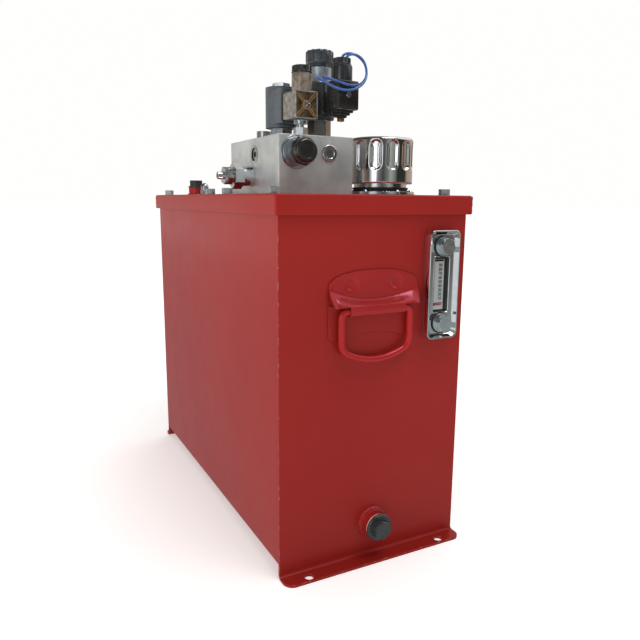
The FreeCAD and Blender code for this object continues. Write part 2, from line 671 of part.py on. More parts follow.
def port_adapter():
    """The steel nipple in the pressure port."""
    x, z = PRESSURE_PORT
    seat = BLOCK_Y[0] + 1.0
    out = V(0, -1, 0)
    body = fuse([cylinder((x, seat, z), AXIS_Y, PRESSURE_PORT_RADIUS - 0.04, 14),
                 cylinder((x, seat, z), out, 13.6, 3.6),
                 cylinder((x, seat - 3.5, z), out, 9.6, 17.5)])
    return body.cut(cylinder((x, seat - 25, z), AXIS_Y, 5.5, 45))


def port_cap():
    """The black plastic cap over the pressure nipple."""
    x, z = PRESSURE_PORT
    back, shoulder, end = PORT_CAP_Y
    out = V(0, -1, 0)
    flange = polygon_bar((x, back, z), out, 27.0, back - shoulder, 8, 10)
    barrel = Part.makeCone(12.3, 11.9, shoulder - end + 0.5, V(x, shoulder + 0.5, z), out)
    rim = [e for e in barrel.Edges if abs(e.CenterOfMass.y - end) < 0.01]
    barrel = barrel.makeFillet(3.0, rim)
    return fuse([flange, barrel]).cut(cylinder((x, back + 1, z), out, 9.9, 10.0))


def relief_valve():
    """The cartridge that screws into the block's left face."""
    y, z = RELIEF
    left = BLOCK_X[0]
    out = V(-1, 0, 0)
    body = fuse([cylinder((left + 20, y, z), out, 9.5, 20.5),
                 cylinder((left, y, z), out, 10.6, 13.2),
                 hex_head((left - 13, y, z), out, 24.0, 10.0, turn=0),
                 cylinder((left - 22.9, y, z), out, 7.0, 1.0)])
    return body.cut(cylinder((left - 26, y, z), AXIS_X, 4.0, 26))


def relief_lock_nut():
    y, z = RELIEF
    nut = polygon_bar((BLOCK_X[0] - 24.0, y, z), V(-1, 0, 0), 16.5, 9.0, turn=15)
    return nut.cut(cylinder((BLOCK_X[0] - 40, y, z), AXIS_X, 4.0, 30))


def relief_screw():
    y, z = RELIEF
    start = BLOCK_X[0] - 5
    body = cylinder((start, y, z), V(-1, 0, 0), 4.0 - FIT, 34.5)
    socket = polygon_bar((start - 34.5, y, z), AXIS_X, 4.0, 4.0)
    return body.cut(socket)


def bleed_screw():
    """A small bleed screw: hexagon, waist and round head in one piece."""
    x, y = BLEED
    return fuse([cylinder((x, y, BLOCK_TOP - 11), AXIS_Z, 4.0, 11.2),
                 hex_head((x, y, BLOCK_TOP + 0.1), AXIS_Z, 13.0, 7.4, turn=25),
                 cylinder((x, y, BLOCK_TOP + 7.4), AXIS_Z, 3.6, 4.0),
                 cylinder((x, y, BLOCK_TOP + 11.0), AXIS_Z, 7.0, 3.2)])


# ---------------------------------------------------------------- solenoid valves
def valve_tube(place, across_flats, hex_height, tube_radius, tube_top, turn):
    """A screwed-in cartridge with its hexagon and the blind armature tube above it."""
    x, y = place
    body = fuse([cylinder((x, y, BLOCK_TOP - 23), AXIS_Z, 8.45, 23.2),
                 hex_head((x, y, BLOCK_TOP), AXIS_Z, across_flats, hex_height, turn),
                 cylinder((x, y, BLOCK_TOP + hex_height - 0.1), AXIS_Z, tube_radius,
                          tube_top - BLOCK_TOP - hex_height + 0.1)])
    return body.cut(cylinder((x, y, BLOCK_TOP + 4), AXIS_Z, 5.0, tube_top - BLOCK_TOP - 8))


def plunger(place, z0, z1):
    x, y = place
    return cylinder((x, y, z0), AXIS_Z, 5.0 - FIT, z1 - z0)


def coil(place, radius, half_width, front, z0, z1, bore):
    """A moulded coil: a round body with a lower square base towards its plug."""
    x, y = place
    base = box(x - half_width, x + half_width, y - front, y, z0 + 3.0, z1 - 4.0)
    base = round_edges(base, AXIS_Z, 2.5, lambda c: c.y < y - front + 0.1)
    body = fuse([cylinder((x, y, z0), AXIS_Z, radius, z1 - z0), base])
    return body.cut(cylinder((x, y, z0 - 1), AXIS_Z, bore, z1 - z0 + 2))


def plug_housing(place, near, far, half_width, z0, z1, gland_out, gland_radius, gland_top):
    """A square cable plug in front of its coil, with the round neck for the cable on top."""
    x, y = place
    shell = box(x - half_width, x + half_width, y - far, y - near, z0, z1)
    shell = round_edges(shell, AXIS_Z, 2.0, lambda c: c.y < y - far + 0.1)
    front_edges = [e for e in shell.Edges if abs(e.CenterOfMass.y - y + far) < 0.01]
    shell = shell.makeFillet(1.0, front_edges)
    step = box(x - half_width + 4, x + half_width - 4, y - near - 8, y - near, z0 - 5, z0)
    neck = cylinder((x, y - gland_out, z1 - 1), AXIS_Z, gland_radius, gland_top - z1 + 1)
    mouth = cylinder((x, y - gland_out, gland_top - NECK_MOUTH), AXIS_Z, 5.5, NECK_MOUTH + 1)
    return fuse([shell, step, neck]).cut(mouth)


def gland_nut(place, out, radius, z0, z1, bore):
    """The ribbed nut on the cable neck."""
    x, y = place
    centre = (x, y - out, z0)
    body = polygon_bar(centre, AXIS_Z, 2 * radius - 0.8, z1 - z0, 12)
    flange = cylinder(centre, AXIS_Z, radius, 1.6)
    hole = cylinder((x, y - out, z0 - 1), AXIS_Z, bore, z1 - z0 + 2)
    return fuse([body, flange]).cut(hole)


NECK_MOUTH = 5.0            # depth of the cable mouth in a plug's neck
COIL_A_Z = (433.3, 475.0)
COIL_A_FRONT = 27.1
PLUG_A = {"near": COIL_A_FRONT, "far": 56.1, "half_width": 13.2, "z0": 438.2, "z1": 465.4,
          "gland_out": 45.5, "gland_radius": 10.4, "gland_top": 483.2}
GLAND_A_TOP = 490.2
COIL_B_Z = (442.6, 479.0)
COIL_B_FRONT = 26.6
PLUG_B = {"near": COIL_B_FRONT, "far": 52.8, "half_width": 13.3, "z0": 448.0, "z1": 476.2,
          "gland_out": 40.4, "gland_radius": 10.9, "gland_top": 491.5}
GLAND_B_TOP = 498.6
KNOB_B_Z = (495.2, 512.4)
TUBE_B_RADIUS = 12.6


def coil_a_nut():
    x, y = VALVE_A
    nut = hex_head((x, y, COIL_A_Z[1]), AXIS_Z, 17.0, 4.6, turn=20)
    return nut.cut(cylinder((x, y, COIL_A_Z[1] - 1), AXIS_Z, 6.5 + FIT, 3.6))


def knob_b():
    """The fluted hand knob of the manual override."""
    x, y = VALVE_B
    z0, z1 = KNOB_B_Z
    knob = cylinder((x, y, z0), AXIS_Z, 14.8, z1 - z0)
    knob = knob.makeFillet(1.5, [e for e in knob.Edges if abs(e.CenterOfMass.z - z1) < 0.01])
    for i in range(16):
        angle = 2 * math.pi * i / 16
        knob = knob.cut(cylinder((x + 15.6 * math.cos(angle), y + 15.6 * math.sin(angle), z0 + 3),
                                 AXIS_Z, 1.7, z1 - z0))
    return knob.cut(cylinder((x, y, z0 - 1), AXIS_Z, 6.0 + FIT, 9))


def valve_b_tube():
    """Valve B's cartridge, tube and the wide silver sleeve above its coil."""
    x, y = VALVE_B
    lower = valve_tube(VALVE_B, 22.0, 20.0, 6.9, COIL_B_Z[1] + 2, 38.6)
    sleeve = cylinder((x, y, COIL_B_Z[1] + 0.2), AXIS_Z, TUBE_B_RADIUS, KNOB_B_Z[0] - COIL_B_Z[1] - 0.4)
    stem = cylinder((x, y, KNOB_B_Z[0] - 0.5), AXIS_Z, 6.0, 7.0)
    return fuse([lower, sleeve, stem])


# ---------------------------------------------------------------- motor and pump in the oil
def motor_shell():
    y0, y1 = MOTOR_Y
    shell = cylinder((0, y0, MOTOR_Z), AXIS_Y, MOTOR_RADIUS, y1 - y0)
    floor = TANK_BOTTOM + SHEET
    pieces = [shell]
    for y in (y0 + 20, y1 - 40):
        pieces.append(box(-48, 48, y, y + 20, floor, floor + 5))
        for x in (-40, 32):
            pieces.append(box(x, x + 8, y, y + 20, floor, MOTOR_Z - 30))
    return fuse(pieces).cut(cylinder((0, y0 - 1, MOTOR_Z), AXIS_Y, MOTOR_RADIUS - 5, y1 - y0 + 2))


def motor_stator():
    """The laminated core with 24 open slots."""
    y0, y1 = STATOR_Y
    core = tube((0, y0, MOTOR_Z), AXIS_Y, MOTOR_RADIUS - 5, ROTOR_RADIUS + 0.5, y1 - y0)
    slots = []
    for i in range(24):
        slot = box(-2.0, 2.0, y0 - 1, y1 + 1, ROTOR_RADIUS - 2, ROTOR_RADIUS + 12)
        slot.rotate(V(0, 0, 0), AXIS_Y, 15 * i)
        slot.translate(V(0, 0, MOTOR_Z))
        slots.append(slot)
    return core.cut(group(slots))


def motor_rotor():
    """The squirrel-cage core pressed on its shaft."""
    y0, y1 = STATOR_Y
    shaft_start = MOTOR_Y[0] - 10
    return fuse([cylinder((0, y0, MOTOR_Z), AXIS_Y, ROTOR_RADIUS, y1 - y0),
                 cylinder((0, y0 - 8, MOTOR_Z), AXIS_Y, 26.0, y1 - y0 + 16),
                 cylinder((0, shaft_start, MOTOR_Z), AXIS_Y, SHAFT_RADIUS, GEAR_Y[1] - shaft_start)])


def motor_bearings():
    front = tube((0, MOTOR_Y[0] - 11.5, MOTOR_Z), AXIS_Y, BEARING_RADIUS, SHAFT_RADIUS + 0.03, 11)
    rear = tube((0, MOTOR_Y[1] + 0.5, MOTOR_Z), AXIS_Y, BEARING_RADIUS, SHAFT_RADIUS + 0.03, 11)
    return group([front, rear])


def motor_end_bells():
    """The two end shields, each with its bearing seat."""
    y0, y1 = MOTOR_Y
    front = cylinder((0, y0 - BELL_THICKNESS, MOTOR_Z), AXIS_Y, MOTOR_RADIUS, BELL_THICKNESS)
    front = front.cut(cylinder((0, y0 - 11.5, MOTOR_Z), AXIS_Y, BEARING_RADIUS + 0.02, 20))
    rear = cylinder((0, y1, MOTOR_Z), AXIS_Y, MOTOR_RADIUS, BELL_THICKNESS)
    rear = rear.cut(cylinder((0, y1 - 1, MOTOR_Z), AXIS_Y, BEARING_RADIUS + 0.02, 12.5))
    rear = rear.cut(cylinder((0, y1 - 1, MOTOR_Z), AXIS_Y, SHAFT_RADIUS + 1, 30))
    return group([front, rear])


def spur_gear(centre, phase, bore):
    """A short-toothed involute gear along Y; phase is in degrees."""
    pitch = GEAR_MODULE * GEAR_TEETH / 2
    tip = pitch + 0.8 * GEAR_MODULE
    root = pitch - 1.05 * GEAR_MODULE
    base = pitch * math.cos(math.radians(GEAR_ANGLE))
    backlash = 0.012

    def involute(radius):
        pressure = math.acos(min(1.0, base / radius))
        return math.tan(pressure) - pressure

    half_at_pitch = math.pi / (2 * GEAR_TEETH) - backlash
    flank = []
    for i in range(5):
        radius = base + (tip - base) * i / 4
        flank.append((radius, half_at_pitch + involute(pitch) - involute(radius)))
    flank.insert(0, (root, flank[0][1] + 0.02))
    outline = []
    for tooth in range(GEAR_TEETH):
        middle = math.radians(phase) + 2 * math.pi * tooth / GEAR_TEETH
        outline += [(r, middle - a) for r, a in flank]
        outline += [(r, middle + a) for r, a in reversed(flank)]
    corners = [(centre[0] + r * math.sin(a), GEAR_Y[0], centre[1] + r * math.cos(a)) for r, a in outline]
    gear = prism(corners, AXIS_Y * (GEAR_Y[1] - GEAR_Y[0]))
    if bore > 0:
        gear = gear.cut(cylinder((centre[0], GEAR_Y[0] - 1, centre[1]), AXIS_Y, bore, 40))
    return gear


def gear_drop():
    return GEAR_MODULE * GEAR_TEETH


def drive_gear():
    return spur_gear((0, MOTOR_Z), 0, SHAFT_RADIUS + 0.01)


def driven_gear():
    z = MOTOR_Z - gear_drop()
    gear = spur_gear((0, z), 180.0 / GEAR_TEETH, 0)
    journals = cylinder((0, PUMP_Y[0] + 2, z), AXIS_Y, 6.0, PUMP_Y[2] - PUMP_Y[0] - 5)
    return fuse([gear, journals])


def pump_outline(y0, y1):
    body = box(-31, 31, y0, y1, MOTOR_Z - 56, MOTOR_Z + 28)
    return round_edges(body, AXIS_Y, 8.0)


def pump_body():
    chamber = GEAR_MODULE * GEAR_TEETH / 2 + 0.8 * GEAR_MODULE + FIT
    body = pump_outline(PUMP_Y[0], PUMP_Y[1])
    low = MOTOR_Z - gear_drop()
    drills = [cylinder((0, GEAR_Y[0] - 0.2, MOTOR_Z), AXIS_Y, chamber, 40),
              cylinder((0, GEAR_Y[0] - 0.2, low), AXIS_Y, chamber, 40),
              cylinder((0, PUMP_Y[0] - 1, MOTOR_Z), AXIS_Y, SHAFT_RADIUS + FIT, 20),
              cylinder((0, PUMP_Y[0] + 1.8, low), AXIS_Y, 6.0 + FIT, 20),
              cylinder((0, (PUMP_Y[0] + PUMP_Y[1]) / 2 + 4, MOTOR_Z), AXIS_Z, 5.0 + FIT, 60)]
    for x in (-21.5, 21.5):
        for z in (MOTOR_Z - 46, MOTOR_Z + 18):
            drills.append(cylinder((x, PUMP_Y[1] - 22, z), AXIS_Y, 4.0 + FIT, 40))
    return body.cut(group(drills))


def pump_cover():
    body = pump_outline(PUMP_Y[1], PUMP_Y[2])
    low = MOTOR_Z - gear_drop()
    drills = [cylinder((0, PUMP_Y[1] - 1, low), AXIS_Y, 6.0 + FIT, 11),
              cylinder((0, PUMP_Y[1] + 3, low - 14), AXIS_Y, 8.0 + FIT, 20)]
    for x in (-21.5, 21.5):
        for z in (MOTOR_Z - 46, MOTOR_Z + 18):
            drills.append(cylinder((x, PUMP_Y[1] - 2, z), AXIS_Y, 4.0 + FIT, 40))
    return body.cut(group(drills))


def suction_strainer():
    z = MOTOR_Z - gear_drop() - 14
    nipple = cylinder((0, PUMP_Y[2] - 8, z), AXIS_Y, 8.0, 22)
    hexagon = polygon_bar((0, PUMP_Y[2] + 4, z), AXIS_Y, 26.0, 8)
    drum = cylinder((0, PUMP_Y[2] + 11, z), AXIS_Y, 27.0, 70)
    for i in range(9):
        drum = drum.cut(tube((0, PUMP_Y[2] + 17 + 7 * i, z), AXIS_Y, 28.0, 25.0, 3.5))
    return fuse([nipple, hexagon, drum]).cut(cylinder((0, PUMP_Y[2] - 9, z), AXIS_Y, 5.0, 80))


def oil_pipes():
    """Pressure pipe from the pump to the block, and return pipe down beside the pump."""
    pump_port = (PUMP_Y[0] + PUMP_Y[1]) / 2 + 4
    px, py = PRESSURE_PIPE_PORT
    rx, ry = RETURN_PIPE_PORT
    top = LID_TOP + 9
    pressure = [(0, pump_port, MOTOR_Z + 20), (0, pump_port, 230), (px, py, 290), (px, py, top)]
    back = [(rx, ry, top), (rx, ry, 310), (80, 62, 250), (80, 62, 40)]
    pipes = []
    for points, label in ((pressure, "pressure pipe"), (back, "return pipe")):
        wire = route_wire(points, label)
        pipes.append(swept(wire, 5.0).cut(swept(wire, 3.4)))
    return group(pipes)


# ---------------------------------------------------------------- leads
def lead(points, label):
    wire = route_wire(points, label)
    solid = swept(wire, LEAD_RADIUS)
    ideal = math.pi * LEAD_RADIUS ** 2 * wire.Length
    print(label, "length", round(wire.Length, 1), "volume ratio", round(solid.Volume / ideal, 4))
    return solid


# ---------------------------------------------------------------- all sub-parts
def build():
    save("tank_wrap", tank_wrap())
    save("front_end_plate", front_end_plate())
    save("rear_end_plate", rear_end_plate())
    save("rim_frame", rim_ring(RIM_TOP - RIM_THICKNESS, RIM_TOP, M6_RADIUS + FIT))
    save("lid_gasket", rim_ring(RIM_TOP, LID_UNDER, M6_RADIUS + 0.4))
    save("lid", lid())
    save("lid_fasteners", lid_fasteners())
    save("drain_boss", drain_boss())
    save("drain_seal", drain_seal())
    save("drain_plug", drain_plug())
    save("gauge_housing", gauge_housing())
    save("gauge_lens", gauge_lens())
    save("gauge_scale", gauge_scale())
    save("gauge_fasteners", gauge_fasteners())
    plate = handle_plate()
    ring = handle_ring()
    save("front_handle_plate", plate)
    save("front_handle_ring", ring)
    save("rear_handle_plate", turned(plate, 180, (0, 0, 0)))
    save("rear_handle_ring", turned(ring, 180, (0, 0, 0)))
    save("breather_flange", breather_flange())
    save("breather_screws", breather_screws())
    save("breather_basket", breather_basket())
    save("breather_foam", breather_foam())
    save("breather_cap", breather_cap())
    save("lid_port_boss", lid_port_boss())
    save("lid_port_plug", lid_port_plug())
    save("cable_gland", cable_gland())
    save("manifold_block", manifold_block())
    save("socket_screws", socket_screws())
    save("block_plugs", block_plugs())
    save("port_adapter", port_adapter())
    save("port_cap", port_cap())
    save("relief_valve", relief_valve())
    save("relief_lock_nut", relief_lock_nut())
    save("relief_screw", relief_screw())
    save("bleed_screw", bleed_screw())
    save("valve_a_tube", valve_tube(VALVE_A, 22.0, 11.0, 6.5, COIL_A_Z[1] + 2.5, 12.0))
    save("valve_a_plunger", plunger(VALVE_A, BLOCK_TOP + 4, COIL_A_Z[1] - 6))
    centre = (VALVE_A[0], VALVE_A[1], 0)
    coil_a = coil(VALVE_A, 16.8, 14.0, COIL_A_FRONT, COIL_A_Z[0], COIL_A_Z[1], 6.5 + FIT)
    save("coil_a", turned(coil_a, VALVE_A_TURN, centre))
    save("coil_a_nut", coil_a_nut())
    save("plug_a", turned(plug_housing(VALVE_A, **PLUG_A), VALVE_A_TURN, centre))
    gland_a = gland_nut(VALVE_A, PLUG_A["gland_out"], 10.6, PLUG_A["gland_top"], GLAND_A_TOP, 4.5)
    save("gland_a", turned(gland_a, VALVE_A_TURN, centre))
    save("valve_b_tube", valve_b_tube())
    save("valve_b_plunger", plunger(VALVE_B, BLOCK_TOP + 4, COIL_B_Z[1] - 6))
    centre = (VALVE_B[0], VALVE_B[1], 0)
    coil_b = coil(VALVE_B, 16.0, 14.0, COIL_B_FRONT, COIL_B_Z[0], COIL_B_Z[1], 6.9 + FIT)
    save("coil_b", turned(coil_b, VALVE_B_TURN, centre))
    save("knob_b", knob_b())
    save("plug_b", turned(plug_housing(VALVE_B, **PLUG_B), VALVE_B_TURN, centre))
    gland_b = gland_nut(VALVE_B, PLUG_B["gland_out"], 9.6, PLUG_B["gland_top"], GLAND_B_TOP, 5.5)
    save("gland_b", turned(gland_b, VALVE_B_TURN, centre))
    save("blue_lead_1", lead(LEAD_1, "lead 1"))
    save("blue_lead_2", lead(LEAD_2, "lead 2"))
    save("motor_shell", motor_shell())
    save("motor_stator", motor_stator())
    save("motor_rotor", motor_rotor())
    save("motor_bearings", motor_bearings())
    save("motor_end_bells", motor_end_bells())
    save("pump_body", pump_body())
    save("pump_cover", pump_cover())
    save("drive_gear", drive_gear())
    save("driven_gear", driven_gear())
    save("suction_strainer", suction_strainer())
    save("oil_pipes", oil_pipes())


build()
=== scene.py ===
"""Looks of the hydraulic power unit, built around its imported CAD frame. Metres, +Z up."""
import math

import bmesh
import bpy
from mathutils import Matrix, Vector


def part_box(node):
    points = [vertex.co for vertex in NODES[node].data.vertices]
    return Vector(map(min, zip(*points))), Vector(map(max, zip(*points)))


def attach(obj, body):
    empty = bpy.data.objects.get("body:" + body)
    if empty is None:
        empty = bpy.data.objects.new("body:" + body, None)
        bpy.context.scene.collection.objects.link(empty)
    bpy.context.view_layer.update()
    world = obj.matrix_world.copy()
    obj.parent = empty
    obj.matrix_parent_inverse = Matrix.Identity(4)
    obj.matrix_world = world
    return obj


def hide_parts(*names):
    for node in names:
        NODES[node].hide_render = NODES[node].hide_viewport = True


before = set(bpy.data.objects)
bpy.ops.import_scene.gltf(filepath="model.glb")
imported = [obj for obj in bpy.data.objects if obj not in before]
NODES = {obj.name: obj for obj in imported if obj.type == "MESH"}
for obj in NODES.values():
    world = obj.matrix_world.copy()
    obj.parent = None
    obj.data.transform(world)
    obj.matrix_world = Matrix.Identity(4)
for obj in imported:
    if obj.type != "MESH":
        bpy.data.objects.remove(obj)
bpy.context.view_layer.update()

MM = 0.001
FRONT = (0, -1, 0)  # the way the front faces


# ---- camera, floor and light
CAMERA_PLACE = (-0.3205, -0.7041, 0.3570)
CAMERA_TURN = math.radians(27.66)  # to the right of straight at the front face
CAMERA_DOWN = math.radians(10.85)
CAMERA_ROLL = math.radians(0.46)
CAMERA_LENS = 35.04

SOFT_LIGHT = 0.47
ROOM_LIGHT = 1.0
LEFT_WINDOW = 16.5
LEFT_STRIP = 1.5
HIGH_FRONT = 15.0
TOP_LIGHT = 9.0
PAPER_WHITE = (1.0, 0.995, 0.985)
FLOOR_HALF = 30.0
FLOOR_GLOW = (0.33, 0.68)  # near the object, and far off
FLOOR_GLOW_SPAN = (0.45, 1.5)  # metres over which the glow grows
FLOOR_SHADE_REACH = 1.8
# the floor as gloss sees it, from the right of the object to its left
FLOOR_SHADE = ((0.0, (0.14, 0.13, 0.12)), (0.28, (0.27, 0.29, 0.29)), (0.50, (0.36, 0.40, 0.41)),
               (0.80, (0.33, 0.35, 0.36)), (0.92, (0.72, 0.76, 0.79)), (1.0, (0.72, 0.76, 0.79)))
# what polished metal sees going round, by fraction of a turn: 0 front, 0.25 left, 0.5 rear, 0.75 right
ROOM_ROUND = ((0.00, (0.30, 0.31, 0.29)), (0.035, (0.16, 0.165, 0.16)), (0.065, (0.07, 0.07, 0.07)),
              (0.11, (0.24, 0.22, 0.24)), (0.135, (0.62, 0.65, 0.70)), (0.18, (0.78, 0.81, 0.84)),
              (0.205, (0.10, 0.09, 0.07)), (0.27, (0.30, 0.23, 0.18)), (0.32, (0.10, 0.09, 0.07)),
              (0.345, (0.10, 0.09, 0.07)), (0.37, (0.46, 0.45, 0.42)), (0.45, (0.50, 0.46, 0.40)),
              (0.47, (0.56, 0.43, 0.33)), (0.56, (0.62, 0.52, 0.44)), (0.66, (0.60, 0.47, 0.37)),
              (0.78, (0.50, 0.38, 0.29)), (0.82, (0.040, 0.038, 0.032)), (0.915, (0.035, 0.034, 0.030)),
              (0.945, (0.25, 0.27, 0.24)), (0.985, (0.42, 0.44, 0.41)))
# how bright the room is, from straight down to straight up
ROOM_RISE = ((0.30, 0.8), (0.50, 0.85), (0.56, 1.0), (0.62, 1.0), (0.68, 0.32), (1.0, 0.28))
# a pale panel high on the right, where the direction's X times its Z passes through this span
RIGHT_PANEL = (0.95, 0.93, 0.95)
RIGHT_PANEL_SPAN = (0.22, 0.32)


def add_object(name, data):
    obj = bpy.data.objects.new(name, data)
    bpy.context.scene.collection.objects.link(obj)
    return obj


class Nodes:
    """A node tree with short calls."""

    def __init__(self, tree):
        self.tree = tree

    def feed(self, socket, value):
        """Link an output to a socket, or give the socket its own value."""
        if isinstance(value, bpy.types.NodeSocket):
            self.tree.links.new(value, socket)
        else:
            socket.default_value = (*value, 1) if socket.type == "RGBA" else value

    def node(self, kind, sockets=None, **settings):
        """Add a shader node; sockets gives its inputs values or outputs."""
        node = self.tree.nodes.new("ShaderNode" + kind)
        for key, value in settings.items():
            setattr(node, key, value)
        for key, value in (sockets or {}).items():
            self.feed(node.inputs[key], value)
        return node

    def add(self, kind, sockets=None, output=0, **settings):
        return self.node(kind, sockets, **settings).outputs[output]

    def ramp(self, value, stops):
        """stops: (position, colour or grey)."""
        node = self.node("ValToRGB", {"Fac": value})
        elements = node.color_ramp.elements
        while len(elements) < len(stops):
            elements.new(0.5)
        for element, (position, colour) in zip(elements, stops):
            element.position = position
            element.color = (*colour, 1) if isinstance(colour, tuple) else (colour, colour, colour, 1)
        return node.outputs["Color"]

    def span(self, value, low, high, to=(0, 1)):
        """A value's place between low and high, as a number between the two in to."""
        return self.add("MapRange", {"Value": value, "From Min": low, "From Max": high,
                                     "To Min": to[0], "To Max": to[1]}, "Result")

    def math(self, kind, a, b):
        return self.add("Math", {0: a, 1: b}, operation=kind)

    def mix(self, factor, a, b, blend="MIX"):
        return self.add("Mix", {"Factor": factor, 6: a, 7: b}, 2, data_type="RGBA", blend_type=blend)


def make_camera():
    data = bpy.data.cameras.new("camera")
    data.lens = CAMERA_LENS
    data.sensor_width = 36.0
    data.clip_start = 0.02
    camera = add_object("camera", data)
    ahead = Vector((math.sin(CAMERA_TURN) * math.cos(CAMERA_DOWN),
                    math.cos(CAMERA_TURN) * math.cos(CAMERA_DOWN), -math.sin(CAMERA_DOWN)))
    level = Vector((math.cos(CAMERA_TURN), -math.sin(CAMERA_TURN), 0))
    upright = level.cross(ahead)
    right = level * math.cos(CAMERA_ROLL) + upright * math.sin(CAMERA_ROLL)
    up = upright * math.cos(CAMERA_ROLL) - level * math.sin(CAMERA_ROLL)
    turn = Matrix((right, up, -ahead)).transposed()
    camera.matrix_world = Matrix.Translation(CAMERA_PLACE) @ turn.to_4x4()
    bpy.context.scene.camera = camera


def area_light(name, place, target, size, energy):
    data = bpy.data.lights.new(name, "AREA")
    data.shape = "RECTANGLE"
    data.size, data.size_y = size
    data.energy = energy
    light = add_object(name, data)
    light.location = place
    light.rotation_euler = (Vector(target) - Vector(place)).to_track_quat("-Z", "Y").to_euler()
    return light


def make_lights():
    """Two big sources that gloss doesn't show, and two smaller ones for highlights."""
    window = area_light("left_window", (-1.9, -0.35, 0.45), (0, -0.05, 0.26), (1.5, 0.6), LEFT_WINDOW)
    top = area_light("top", (0.5, 0.4, 1.9), (0, 0, 0.3), (1.3, 1.3), TOP_LIGHT)
    window.visible_glossy = top.visible_glossy = False
    area_light("left_strip", (-1.25, -1.05, 0.85), (0, -0.15, 0.3), (0.50, 0.90), LEFT_STRIP)
    area_light("high_front", (0.25, -0.95, 2.2), (0, -0.2, 0.1), (1.1, 0.8), HIGH_FRONT)


def make_world():
    """White behind the object, an even soft light on it, and a room of windows in its gloss."""
    world = bpy.data.worlds.new("studio")
    bpy.context.scene.world = world
    world.use_nodes = True
    world.node_tree.nodes.clear()
    n = Nodes(world.node_tree)
    way = n.node("SeparateXYZ", {0: n.add("TexCoord", output="Generated")}).outputs
    sides = n.ramp(n.span(n.math("ARCTAN2", way["X"], way["Y"]), -math.pi, math.pi), ROOM_ROUND)
    level = n.ramp(n.span(way["Z"], -1, 1), ROOM_RISE)
    high_right = n.span(n.math("MULTIPLY", way["X"], way["Z"]), *RIGHT_PANEL_SPAN)
    room = n.mix(high_right, n.mix(1, sides, level, "MULTIPLY"), RIGHT_PANEL)
    soft = n.add("Background", {"Color": (1.0, 0.99, 0.97), "Strength": SOFT_LIGHT})
    gloss = n.add("Background", {"Color": room, "Strength": ROOM_LIGHT})
    behind = n.add("Background", {"Color": PAPER_WHITE})
    ray = n.node("LightPath").outputs
    lit = n.add("MixShader", {"Fac": ray["Is Glossy Ray"], 1: soft, 2: gloss})
    seen = n.add("MixShader", {"Fac": ray["Is Camera Ray"], 1: lit, 2: behind})
    n.node("OutputWorld", {"Surface": seen})


def make_floor():
    """A pale floor that glows just enough to run into the white behind it; gloss sees it darker."""
    mesh = bpy.data.meshes.new("floor")
    half = FLOOR_HALF
    mesh.from_pydata([(-half, -half, 0), (half, -half, 0), (half, half, 0), (-half, half, 0)], [],
                     [(0, 1, 2, 3)])
    floor = add_object("floor", mesh)
    m = Maker("floor")
    distance = m.add("VectorMath", {0: m.place}, "Value", operation="LENGTH")
    m.set(Base_Color=(0.90, 0.89, 0.88), Roughness=0.9, Specular_IOR_Level=0.0, Emission_Color=PAPER_WHITE,
          Emission_Strength=m.span(distance, *FLOOR_GLOW_SPAN, FLOOR_GLOW))
    left = m.add("VectorMath", {0: m.place, 1: (-1, 0, 0)}, "Value", operation="DOT_PRODUCT")
    shade = m.add("Emission", {"Color": m.ramp(m.span(left, -FLOOR_SHADE_REACH, FLOOR_SHADE_REACH),
                                               FLOOR_SHADE)})
    gloss = m.add("LightPath", output="Is Glossy Ray")
    mix = m.add("MixShader", {"Fac": gloss, 1: m.shader.outputs[0], 2: shade})
    m.feed(m.tree.nodes["Material Output"].inputs["Surface"], mix)
    mesh.materials.append(m.material)


# ---- materials
class Maker(Nodes):
    """A material, with short calls for what the materials here share."""

    def __init__(self, name):
        self.material = bpy.data.materials.new(name)
        self.material.use_nodes = True
        super().__init__(self.material.node_tree)
        self.shader = self.tree.nodes["Principled BSDF"]
        self.place = self.add("TexCoord", output="Object")

    def set(self, **values):
        """Give the shader's sockets values or outputs."""
        for key, value in values.items():
            self.feed(self.shader.inputs[key.replace("_", " ")], value)

    def texture(self, kind, output, stretch=(1, 1, 1), **sockets):
        """A texture in object coordinates stretched by a vector."""
        vector = self.add("Mapping", {"Vector": self.place, "Scale": stretch})
        return self.add(kind, {"Vector": vector, **sockets}, output)

    def noise(self, scale, detail=3.0, roughness=0.5, stretch=(1, 1, 1)):
        return self.texture("TexNoise", "Fac", stretch, Scale=scale, Detail=detail, Roughness=roughness)

    def mottle(self, scale, detail, low, high, ends=(0.3, 0.7), roughness=0.5):
        """Noise that runs from one colour or grey to another."""
        return self.ramp(self.noise(scale, detail, roughness), list(zip(ends, (low, high))))

    def rounded(self, radius):
        return self.add("Bevel", {"Radius": radius}, samples=6)

    def edges(self, radius):
        """1 along sharp convex and concave edges, 0 on flats."""
        flat = self.add("NewGeometry", output="Normal")
        same = self.add("VectorMath", {0: self.rounded(radius), 1: flat}, "Value", operation="DOT_PRODUCT")
        return self.math("SUBTRACT", 1.0, same)

    def height(self, value, strength, distance, edge=0.0):
        """Bump, over softened edges where edge is a radius."""
        sockets = {"Height": value, "Strength": strength, "Distance": distance}
        if edge > 0:
            sockets["Normal"] = self.rounded(edge)
        self.set(Normal=self.add("Bump", sockets))


def tinted(colour, by, plus=0.0):
    return tuple(min(1.0, c * by + plus) for c in colour)


